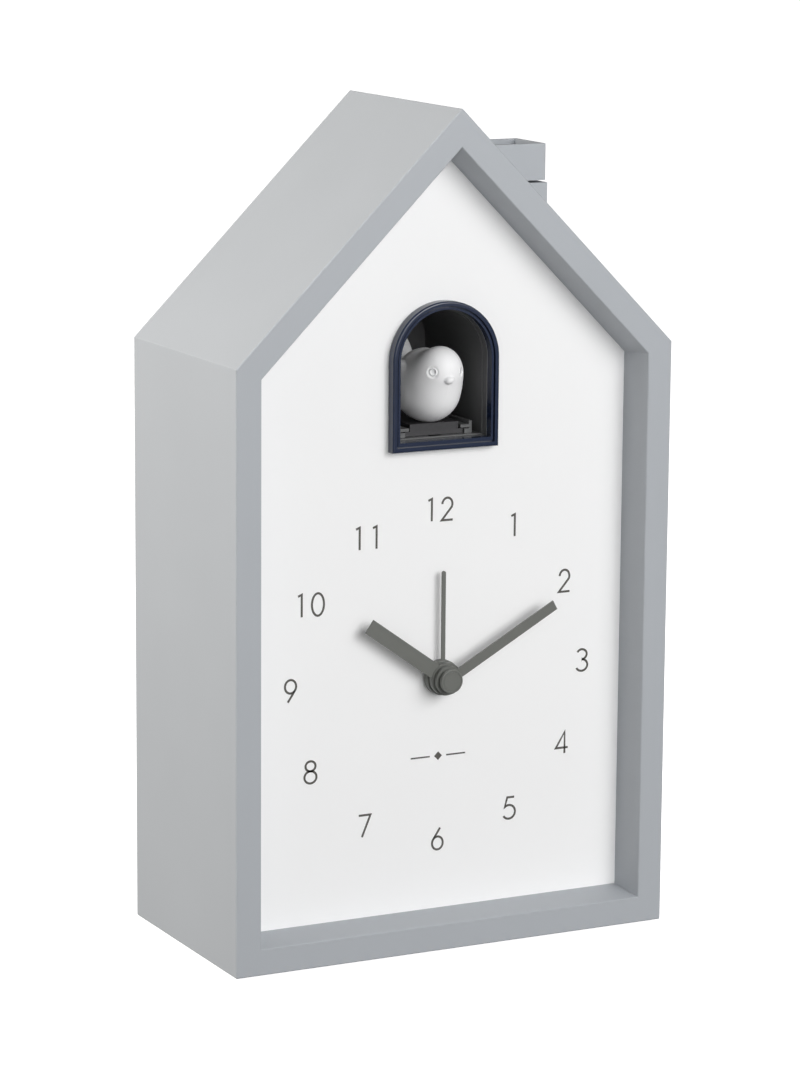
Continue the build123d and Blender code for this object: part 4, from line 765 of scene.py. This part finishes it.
@dataclass
class Numerals:
    """Twelve light geometric numerals, drawn with a pen of one width.

    Each digit's pen lines are given in millimetres about its own middle.
    """

    centre_mm: Point2 = (0.05, 71.7)
    circle_mm: Point2 = (42.7, 43.9)
    pen_mm: float = 0.58
    half_height_mm: float = 2.92
    width_shares: Sequence[float] = (1.05, 1.08, 0.88, 1.1, 1.0, 1.0, 0.9, 1.04, 1.07, 0.9)
    gap_mm: float = 2.3
    ones_gap_mm: float = 3.2
    ink_mm: float = 0.03
    mitre_limit: float = 2.4
    closed_within: float = 1e-6

    def one(self) -> list[list[Point2]]:
        """Upright with a small flag."""
        h = self.half_height_mm
        return [[(-0.55, h - 0.42), (0.42, h), (0.42, -h)]]

    def two(self) -> list[list[Point2]]:
        """Arch, diagonal and base."""
        h = self.half_height_mm
        return [arc((0.0, h - 1.65), 1.65, 178, -30) + [(-1.85, -h), (1.8, -h)]]

    def three(self) -> list[list[Point2]]:
        """A small bowl over a larger one."""
        h = self.half_height_mm
        upper = arc((-0.1, h - 1.36), 1.36, 152, -90)
        lower = arc((-0.1, -h + 1.56), 1.56, 90, -155)
        return [upper + lower]

    def four(self) -> list[list[Point2]]:
        """Upright, diagonal and crossbar in one line."""
        h = self.half_height_mm
        return [[(0.85, -h), (0.85, h), (-1.8, -1.35), (1.85, -1.35)]]

    def five(self) -> list[list[Point2]]:
        """Bar, slanted stroke and bowl."""
        h = self.half_height_mm
        return [[(1.45, h), (-0.62, h)] + arc((-0.12, -h + 1.86), 1.86, 131, -148)]

    def six(self) -> list[list[Point2]]:
        """Round bowl with a straight stroke that leaves it on the left."""
        radius = 1.75
        top = (0.85, self.half_height_mm)
        low = -self.half_height_mm + radius
        reach = math.hypot(top[0], top[1] - low)
        leave = math.degrees(math.atan2(top[1] - low, top[0]) + math.acos(radius / reach))
        return [[top] + arc((0.0, low), radius, leave, leave + 360)]

    def seven(self) -> list[list[Point2]]:
        """Bar and straight diagonal."""
        h = self.half_height_mm
        return [[(-1.65, h), (1.6, h), (-0.75, -h)]]

    def eight(self) -> list[list[Point2]]:
        """A small ring over a larger one."""
        h = self.half_height_mm
        return [arc((0.0, h - 1.32), 1.32, -90, 270), arc((0.0, -h + 1.6), 1.6, 90, 450)]

    def nine(self) -> list[list[Point2]]:
        """The six, turned over."""
        return [[(-x, -y) for x, y in line] for line in self.six()]

    def zero(self) -> list[list[Point2]]:
        """Narrow oval."""
        return [arc((0.0, 0.0), 1.62, 0, 360, self.half_height_mm / 1.62)]

    def digit(self, value: int) -> list[list[Point2]]:
        """Pen lines of one digit."""
        makers: list[Callable[[], list[list[Point2]]]] = [
            self.zero, self.one, self.two, self.three, self.four,
            self.five, self.six, self.seven, self.eight, self.nine,
        ]
        share = self.width_shares[value]
        return [[(x * share, y) for x, y in line] for line in makers[value]()]

    def hour(self, value: int) -> list[list[Point2]]:
        """Pen lines of one hour, centred on its own middle.

        Args:
            value: The hour, from 1 to 12.

        Returns:
            The pen lines.
        """
        gap = self.pen_mm + (self.ones_gap_mm if value == 11 else self.gap_mm)
        lines: list[list[Point2]] = []
        right = -gap
        for figure in str(value):
            drawn = self.digit(int(figure))
            shift = right + gap - min(x for line in drawn for x, _ in line)
            lines += [[(x + shift, y) for x, y in line] for line in drawn]
            right = max(x for line in lines for x, _ in line)
        return [[(x - right / 2, y) for x, y in line] for line in lines]

    def sides(self, line: Sequence[Point2]) -> tuple[list[Vector], list[Vector]]:
        """Left and right edges of a pen line, mitred at its corners.

        Args:
            line: The middle of the pen line.

        Returns:
            The two edges.
        """
        points = [Vector(p) for p in line]
        closed = (points[0] - points[-1]).length < self.closed_within
        runs = [(b - a).normalized() for a, b in zip(points, points[1:])]
        left, right = [], []
        for i, point in enumerate(points):
            before = runs[i - 1] if i else (runs[-1] if closed else runs[0])
            after = runs[i] if i < len(runs) else (runs[0] if closed else runs[-1])
            across = Vector((-(before + after).y, (before + after).x)).normalized()
            flat = across.dot(Vector((-before.y, before.x)))
            offset = across * (self.pen_mm / 2 * min(self.mitre_limit, 1.0 / max(flat, 1e-3)))
            left.append(point + offset)
            right.append(point - offset)
        return left, right

    def add_line(
        self, shape: bmesh.types.BMesh, line: Sequence[Point2], at: Point2, back: float
    ) -> None:
        """Add one pen line to a mesh, as a thin closed layer of ink.

        Args:
            shape: The mesh.
            line: The middle of the pen line.
            at: Where its numeral's middle is on the dial, in millimetres.
            back: Depth of the dial's face, in metres.
        """
        left, right = self.sides(line)
        rows = []
        for a, b in zip(left, right):
            row = []
            for point, depth in ((a, 0.0), (b, 0.0), (b, self.ink_mm), (a, self.ink_mm)):
                x, z = at[0] + point.x, at[1] + point.y
                row.append(shape.verts.new((x * MM, back - depth * MM, z * MM)))
            rows.append(row)
        for row, after in zip(rows, rows[1:]):
            for i, corner in enumerate(row):
                j = (i + 1) % len(row)
                shape.faces.new((corner, row[j], after[j], after[i]))
        shape.faces.new(rows[0])
        shape.faces.new(list(reversed(rows[-1])))

    def build(self) -> None:
        """Print the numerals on the dial."""
        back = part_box("dial_plate")[0].y
        shape = bmesh.new()
        for value in range(1, 13):
            turn = FULL_TURN * value / 12
            x = self.centre_mm[0] + self.circle_mm[0] * math.sin(turn)
            z = self.centre_mm[1] + self.circle_mm[1] * math.cos(turn)
            for line in self.hour(value):
                self.add_line(shape, line, (x, z), back)
        bmesh.ops.recalc_face_normals(shape, faces=shape.faces)
        add_piece("numerals", mesh_from(shape, "numerals"), PRINT_GREY, "case")


@dataclass
class Ornament:
    """A plain printed mark under the hands: a diamond between two dashes."""

    centre_mm: Point2 = (0.0, 50.2)
    dash_mm: Point2 = (5.6, 0.4)
    dash_offset_mm: float = 5.2
    diamond_mm: float = 1.15
    ink_mm: float = 0.03

    def outlines(self) -> list[list[Point2]]:
        """Outlines of the mark's three parts."""
        x, z = self.dash_mm[0] / 2, self.dash_mm[1] / 2
        dash = [(-x, -z), (x, -z), (x, z), (-x, z)]
        d = self.diamond_mm
        diamond = [(-d, 0.0), (0.0, -d), (d, 0.0), (0.0, d)]
        dashes = [[(x + side.value * self.dash_offset_mm, z) for x, z in dash] for side in Side]
        return dashes + [diamond]

    def build(self) -> None:
        """Print the mark on the dial."""
        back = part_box("dial_plate")[0].y
        shape = bmesh.new()
        middle_x, middle_z = self.centre_mm
        for outline in self.outlines():
            corners = [((middle_x + x) * MM, back, (middle_z + z) * MM) for x, z in outline]
            base = shape.faces.new([shape.verts.new(c) for c in corners])
            moved = bmesh.ops.extrude_face_region(shape, geom=[base])["geom"]
            lifted = [g for g in moved if isinstance(g, bmesh.types.BMVert)]
            bmesh.ops.translate(shape, verts=lifted, vec=(0.0, -self.ink_mm * MM, 0.0))
        bmesh.ops.recalc_face_normals(shape, faces=shape.faces)
        mesh = mesh_from(shape, "dial_ornament")
        add_piece("dial_ornament", mesh, PRINT_GREY, "case")


# ------------------------ cuckoo

Field = Callable[[np.ndarray], np.ndarray]
SMALLEST_SLOPE = 1e-9


def ellipsoid(centre: Point3, radii: Point3, tilt: float = 0.0) -> Field:
    """Distance to an ellipsoid.

    Args:
        centre: Its middle.
        radii: Its half axes.
        tilt: Turn about X, in degrees.

    Returns:
        The distance field.
    """
    turn = np.array(Matrix.Rotation(math.radians(-tilt), 3, "X"))
    size = np.array(radii)

    def distance(points: np.ndarray) -> np.ndarray:
        """Distance of each point from the surface."""
        local = (points - np.array(centre)) @ turn.T
        near = np.linalg.norm(local / size, axis=1)
        slope = np.linalg.norm(local / size**2, axis=1)
        return near * (near - 1.0) / np.maximum(slope, SMALLEST_SLOPE)

    return distance


def ring(centre: Vector, normal: Vector, radius: float, thickness: float) -> Field:
    """Distance to a ring of round section.

    Args:
        centre: Its middle.
        normal: Its axis.
        radius: Radius of its middle line.
        thickness: Radius of its section.

    Returns:
        The distance field.
    """
    axis = np.array(normal.normalized())

    def distance(points: np.ndarray) -> np.ndarray:
        """Distance of each point from the surface."""
        local = points - np.array(centre)
        height = local @ axis
        across = np.linalg.norm(local - np.outer(height, axis), axis=1)
        return np.hypot(across - radius, height) - thickness

    return distance


def joined(first: np.ndarray, second: np.ndarray, soft: float) -> np.ndarray:
    """Union of two shapes, with a soft fillet between them.

    Args:
        first: Distances to the first shape.
        second: Distances to the second shape.
        soft: How far the fillet reaches.

    Returns:
        Distances to the two together.
    """
    share = np.clip(0.5 + 0.5 * (second - first) / soft, 0.0, 1.0)
    return second * (1.0 - share) + first * share - soft * share * (1.0 - share)


@dataclass
class Cuckoo:
    """Plump white bird on its black carriage.

    Its lumps are ellipsoids that run into each other over the distances named soft. A mesh around
    them is then drawn onto the skin, with the slope of the distance measured over probe_mm.
    """

    body_mm: Point3 = (0.0, -13.7, 146.2)
    body_radii_mm: Point3 = (8.25, 10.8, 8.85)
    back_mm: Point3 = (0.0, -12.9, 148.0)
    back_radii_mm: Point3 = (7.5, 9.4, 8.45)
    back_soft_mm: float = 1.2
    wing_mm: Point3 = (6.5, -10.6, 147.0)
    wing_radii_mm: Point3 = (2.2, 7.8, 6.4)
    wing_tilt: float = 12.0
    wing_soft_mm: float = 0.7
    head_mm: Point3 = (0.0, -21.1, 152.2)
    head_radii_mm: Point3 = (5.65, 5.6, 5.75)
    tail_mm: Point3 = (0.0, -1.1, 152.5)
    tail_radii_mm: Point3 = (2.6, 1.1, 7.2)
    tail_tilt: float = -28.0
    tail_soft_mm: float = 1.4
    beak_mm: Point3 = (0.0, -26.2, 149.9)
    beak_radii_mm: Point3 = (1.4, 1.2, 1.05)
    beak_tilt: float = -14.0
    beak_soft_mm: float = 0.35
    eye_angle: float = 46.0
    eye_rise: float = -2.0
    eye_groove_mm: Point2 = (1.25, 0.34)
    eye_ball_mm: float = 0.85
    eye_soft_mm: float = 0.08
    eye_steps: int = 24
    cheek_mm: Point3 = (0.0, -18.5, 149.8)
    cheek_radii_mm: Point3 = (7.1, 6.9, 6.7)
    neck_soft_mm: float = 1.8
    voxel_mm: float = 0.32
    probe_mm: float = 0.02
    least_slope: float = 0.25
    longest_move_mm: float = 0.6

    def __post_init__(self) -> None:
        """Work out where the eyes are and the height of the carriage's top."""
        self.base_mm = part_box("bird")[0].z / MM
        self.eyes = [self.eye(side) for side in Side]

    def body(self, points: np.ndarray) -> np.ndarray:
        """Distance of points from the bird without its eyes, in millimetres."""
        skin = ellipsoid(self.body_mm, self.body_radii_mm)(points)
        back = ellipsoid(self.back_mm, self.back_radii_mm)(points)
        skin = joined(skin, back, self.back_soft_mm)
        for side in Side:
            middle = (side.value * self.wing_mm[0], *self.wing_mm[1:])
            wing = ellipsoid(middle, self.wing_radii_mm, self.wing_tilt)(points)
            skin = joined(skin, wing, self.wing_soft_mm)
        tail = ellipsoid(self.tail_mm, self.tail_radii_mm, self.tail_tilt)(points)
        skin = joined(skin, tail, self.tail_soft_mm)
        head = ellipsoid(self.head_mm, self.head_radii_mm)(points)
        cheek = ellipsoid(self.cheek_mm, self.cheek_radii_mm)(points)
        skin = joined(skin, joined(head, cheek, self.neck_soft_mm), self.neck_soft_mm)
        beak = ellipsoid(self.beak_mm, self.beak_radii_mm, self.beak_tilt)(points)
        return joined(skin, beak, self.beak_soft_mm)

    def eye(self, side: Side) -> tuple[Vector, Vector]:
        """Middle of an eye and the way it looks.

        Args:
            side: Which eye.

        Returns:
            The point on the skin, in millimetres, and the direction.
        """
        turn, rise = math.radians(self.eye_angle), math.radians(self.eye_rise)
        outward = side.value * math.sin(turn) * math.cos(rise)
        look = Vector((outward, -math.cos(turn) * math.cos(rise), math.sin(rise)))
        point = Vector(self.head_mm) + look * 2.0 * max(self.head_radii_mm)
        for _ in range(self.eye_steps):
            point -= look * float(self.body(np.array([point]))[0])
        return point, look

    def shape(self, points: np.ndarray) -> np.ndarray:
        """Distance of points from the bird's skin, in millimetres."""
        skin = self.body(points)
        for middle, look in self.eyes:
            skin = np.maximum(skin, -ring(middle, look, *self.eye_groove_mm)(points))
            ball = np.linalg.norm(points - np.array(middle), axis=1) - self.eye_ball_mm
            skin = joined(skin, ball, self.eye_soft_mm)
        return np.maximum(skin, self.base_mm - points[:, 2])

    def settle(self, mesh: bpy.types.Mesh, rounds: int) -> None:
        """Move a mesh's points onto the bird's skin.

        Args:
            mesh: The mesh, in metres.
            rounds: How many corrections are made.
        """
        points = np.array([v.co for v in mesh.vertices], float) / MM
        steps = self.probe_mm * np.eye(3)
        for _ in range(rounds):
            distance = self.shape(points)
            rises = [self.shape(points + step) - self.shape(points - step) for step in steps]
            slope = np.stack(rises, axis=1) / (2 * self.probe_mm)
            size = np.maximum((slope**2).sum(axis=1), self.least_slope)
            move = slope * (distance / size)[:, None]
            points -= np.clip(move, -self.longest_move_mm, self.longest_move_mm)
        mesh.vertices.foreach_set("co", (points * MM).astype(np.float32).ravel())
        mesh.update()

    def rough(self) -> bpy.types.Object:
        """Overlapping ellipsoids that stand near the bird's skin."""
        shape = bmesh.new()
        lumps = [
            (self.body_mm, self.body_radii_mm, 0.0),
            (self.back_mm, self.back_radii_mm, 0.0),
            (self.head_mm, self.head_radii_mm, 0.0),
            (self.cheek_mm, self.cheek_radii_mm, 0.0),
            (self.tail_mm, self.tail_radii_mm, self.tail_tilt),
            (self.beak_mm, self.beak_radii_mm, self.beak_tilt),
        ]
        for centre, radii, tilt in lumps:
            middle = Matrix.Translation(Vector(centre) * MM)
            turn = Matrix.Rotation(math.radians(tilt), 4, "X")
            size = Matrix.Diagonal((*(r * MM for r in radii), 1.0))
            place = middle @ turn @ size
            bmesh.ops.create_icosphere(shape, subdivisions=4, radius=1.0, matrix=place)
        cut = bmesh.ops.bisect_plane(
            shape,
            geom=shape.verts[:] + shape.edges[:] + shape.faces[:],
            plane_co=(0, 0, self.base_mm * MM),
            plane_no=(0, 0, -1),
            clear_outer=True,
        )
        edges = [g for g in cut["geom_cut"] if isinstance(g, bmesh.types.BMEdge)]
        bmesh.ops.edgeloop_fill(shape, edges=edges)
        return add_object("bird_rough", mesh_from(shape, "bird_rough"))

    def build(self) -> None:
        """Sculpt the bird and dress its carriage."""
        rough = self.rough()
        voxels = {"mode": "VOXEL", "voxel_size": self.voxel_mm * MM}
        mesh = self.refined(rough, "REMESH", voxels)
        self.settle(mesh, 4)
        rough.data = mesh
        mesh = self.refined(rough, "SUBSURF", {"levels": 1, "render_levels": 1})
        bpy.data.objects.remove(rough)
        self.settle(mesh, 3)
        mesh.shade_smooth()
        add_piece("cuckoo", mesh, BIRD_WHITE, "bird_assembly", ["bird"])
        dress(CARRIAGE_BLACK, "bird_carriage")
        dress(STEEL, "bird_screw")

    @staticmethod
    def refined(piece: bpy.types.Object, kind: str, settings: dict) -> bpy.types.Mesh:
        """Mesh of a piece after one modifier.

        Args:
            piece: The piece.
            kind: The modifier's type.
            settings: The modifier's settings.

        Returns:
            The new mesh.
        """
        modifier = piece.modifiers.new(kind.lower(), kind)
        for key, value in settings.items():
            setattr(modifier, key, value)
        graph = bpy.context.evaluated_depsgraph_get()
        mesh = bpy.data.meshes.new_from_object(piece.evaluated_get(graph))
        piece.modifiers.clear()
        return mesh


# ------------------------ CAD pieces and their finishes


@dataclass
class Housing:
    """House-shaped shell, its feet, screws and the covers on its back."""

    def build(self) -> None:
        """Dress the shell and what closes it."""
        dress(HOUSING_GREY, "housing")
        dress(COVER_GREY, "back_cover", "battery_door")
        dress(KNOB_GREY, "time_knob", "alarm_knob")
        dress(SWITCH_BLACK, "alarm_switch", "sound_switch")
        dress(TURNED_STEEL, "case_screws", "cover_screws", "board_screws")
        dress(SOFT_RUBBER, "rubber_feet")


@dataclass
class DialAndWindow:
    """Dial with its printing, the framed window and the black niche behind it."""

    numerals: Numerals = field(default_factory=Numerals)
    ornament: Ornament = field(default_factory=Ornament)

    def build(self) -> None:
        """Dress the dial and window, and print the dial."""
        dress(DIAL_WHITE, "dial_plate")
        dress(FRAME_NAVY, "window_frame")
        dress(NICHE_BLACK, "niche_shell", "guide_rails")
        self.numerals.build()
        self.ornament.build()


@dataclass
class BirdDrive:
    """Rack, gear and motor that push the cuckoo out."""

    def build(self) -> None:
        """Dress the drive."""
        dress(ACETAL, "drive_rack", "drive_gear", "motor_pinion")
        dress(SWITCH_BLACK, "drive_bracket")
        dress(STEEL, "drive_axle", "drive_motor", "drive_screws")


@dataclass
class Movement:
    """Quartz movement with its wheels, coil and circuit."""

    wheels: Sequence[str] = (
        "centre_wheel", "third_wheel", "second_wheel", "intermediate_wheel", "rotor",
        "motion_wheel", "hour_wheel", "alarm_wheel", "time_pinion", "alarm_pinion",
        "train_plate", "coil_bobbin",
    )

    def build(self) -> None:
        """Dress the movement."""
        dress(ACETAL, *self.wheels)
        dress(MOVEMENT_BLACK, "movement_front_case", "movement_rear_case")
        dress(STEEL, "stator", "minute_arbor")
        dress(COPPER, "coil_winding")
        dress(BRASS, "alarm_contact")
        dress(LAMINATE, "movement_circuit")


@dataclass
class Hands:
    """Hour, minute and alarm hands and their cap."""

    def build(self) -> None:
        """Dress the hands."""
        dress(HAND_GREY, "hour_hand", "minute_hand", "alarm_hand", "hand_cap")


@dataclass
class Chimney:
    """Chimney button with its clip, spring and switch."""

    def build(self) -> None:
        """Dress the button and what it works."""
        dress(HOUSING_GREY, "chimney_button")
        dress(STEEL, "stem_clip", "button_spring")
        dress(LAMINATE, "switch_board")
        dress(MOVEMENT_BLACK, "snooze_switch")


@dataclass
class Electronics:
    """Main board, speaker, switches and the battery bay."""

    def build(self) -> None:
        """Dress the electronics."""
        low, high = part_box("batteries")
        dress(LAMINATE, "main_board")
        dress(CONE_PAPER, "speaker")
        dress(MOVEMENT_BLACK, "switch_housings")
        dress(SWITCH_BLACK, "battery_tray")
        dress(CellSleeve("cell_sleeve", low.x, high.x), "batteries")
        dress(STEEL, "battery_contacts", "battery_springs")


# ------------------------ studio


@dataclass(frozen=True)
class Softbox:
    """One rectangular studio light."""

    name: str
    place: Point3
    target: Point3
    size: float
    power: float
    colour: Colour = WHITE

    def build(self) -> None:
        """Hang the light."""
        lamp = bpy.data.lights.new(self.name, "AREA")
        lamp.shape = "SQUARE"
        lamp.size = self.size
        lamp.energy = self.power
        lamp.color = self.colour
        light = add_object(self.name, lamp)
        light.location = self.place
        aim = Vector(self.target) - Vector(self.place)
        light.rotation_euler = aim.to_track_quat("-Z", "Y").to_euler()


@dataclass
class Studio:
    """Pale floor and walls, soft lights and the camera.

    Angles are in degrees, and the lens and sensor in millimetres.
    """

    camera_mm: Point3 = (-460.5, -901.4, 300.6)
    yaw: float = 27.041
    pitch: float = -10.915
    roll: float = 0.440
    lens: float = 132.09
    sensor: float = 36.0
    nearest: float = 0.05
    floor_radius: float = 3.0
    bend_radius: float = 2.0
    cove_steps: int = 96
    floor_colour: Colour = (0.9, 0.9, 0.9)
    floor_clouds: float = 0.01
    floor_cloud_mm: float = 60.0
    floor_roughness: float = 0.9
    floor_glow: float = 0.95
    sky: float = 0.20
    boxes: Sequence[Softbox] = (
        Softbox("front_light", (0.16, -1.25, 0.5), (0.0, 0.0, 0.1), 0.9, 8.9),
        Softbox("key_light", (0.36, -0.78, 0.46), (0.0, 0.0, 0.1), 0.5, 2.3),
        Softbox("side_light", (-0.62, 0.15, 0.42), (0.0, 0.0, 0.1), 0.5, 5.8, (1.0, 0.965, 0.915)),
        Softbox("low_light", (-0.55, -1.1, 0.12), (0.0, 0.0, 0.12), 0.8, 0.8),
    )

    def camera(self) -> None:
        """Set up the camera."""
        yaw, pitch, roll = (math.radians(a) for a in (self.yaw, self.pitch, self.roll))
        flat = math.cos(pitch)
        ahead = Vector((math.sin(yaw) * flat, math.cos(yaw) * flat, math.sin(pitch)))
        level = Vector((math.cos(yaw), -math.sin(yaw), 0.0))
        upright = level.cross(ahead)
        right = level * math.cos(roll) + upright * math.sin(roll)
        up = upright * math.cos(roll) - level * math.sin(roll)
        lens = bpy.data.cameras.new("camera")
        lens.lens = self.lens
        lens.sensor_width = self.sensor
        lens.clip_start = self.nearest
        camera = add_object("camera", lens)
        turn = Matrix((right, up, -ahead)).transposed().to_4x4()
        camera.matrix_world = Matrix.Translation(Vector(self.camera_mm) * MM) @ turn
        bpy.context.scene.camera = camera

    def cove(self) -> None:
        """Build the floor and the walls that it curves up into, seen by the camera alone."""
        wall_radius = self.floor_radius + self.bend_radius
        profile = [(0.0, 0.0), (self.floor_radius, 0.0)]
        profile += arc((self.floor_radius, self.bend_radius), self.bend_radius, -90, 0)[1:]
        profile += arc((0.0, self.bend_radius), wall_radius, 0, 90)[1:]
        shape = bmesh.new()
        verts = [shape.verts.new((x, 0.0, z)) for x, z in profile]
        edges = [shape.edges.new(pair) for pair in zip(verts, verts[1:])]
        bmesh.ops.spin(
            shape,
            geom=verts + edges,
            axis=(0, 0, 1),
            cent=(0, 0, 0),
            angle=FULL_TURN,
            steps=self.cove_steps,
        )
        bmesh.ops.remove_doubles(shape, verts=shape.verts, dist=MM)
        mesh = mesh_from(shape, "cove")
        mesh.shade_smooth()
        mesh.materials.append(self.floor_material())
        cove = add_object("cove", mesh)
        cove.visible_diffuse = False
        cove.visible_glossy = False
        cove.visible_shadow = False

    def floor_material(self) -> bpy.types.Material:
        """Matt pale floor that glows a little of its own.

        Returns:
            The material.
        """
        graph = Graph("pale_floor")
        cloud = graph.noise(self.floor_cloud_mm)
        pale = graph.tint(self.floor_colour, self.floor_clouds, cloud)
        graph.surface(Base_Color=pale, Roughness=self.floor_roughness, Specular_IOR_Level=0.0)
        graph.surface(Emission_Color=WHITE, Emission_Strength=self.floor_glow)
        return graph.material

    def world(self) -> None:
        """Fill the room with even light."""
        world = bpy.data.worlds.new("room")
        world.use_nodes = True
        backdrop = world.node_tree.nodes["Background"]
        backdrop.inputs["Color"].default_value = (*WHITE, 1.0)
        backdrop.inputs["Strength"].default_value = self.sky
        bpy.context.scene.world = world

    def build(self) -> None:
        """Set up the studio."""
        bpy.context.scene.view_settings.view_transform = "Standard"
        self.camera()
        self.cove()
        self.world()
        for box in self.boxes:
            box.build()


def main() -> None:
    """Build the clock's looks, one sub-assembly after the other."""
    logging.basicConfig(level=logging.INFO, format="%(message)s")
    parts = [
        Studio(), Housing(), DialAndWindow(), Cuckoo(), BirdDrive(),
        Movement(), Hands(), Chimney(), Electronics(),
    ]
    for part in parts:
        part.build()
        LOG.info("%s done", type(part).__name__)


if __name__ == "__main__":
    main()
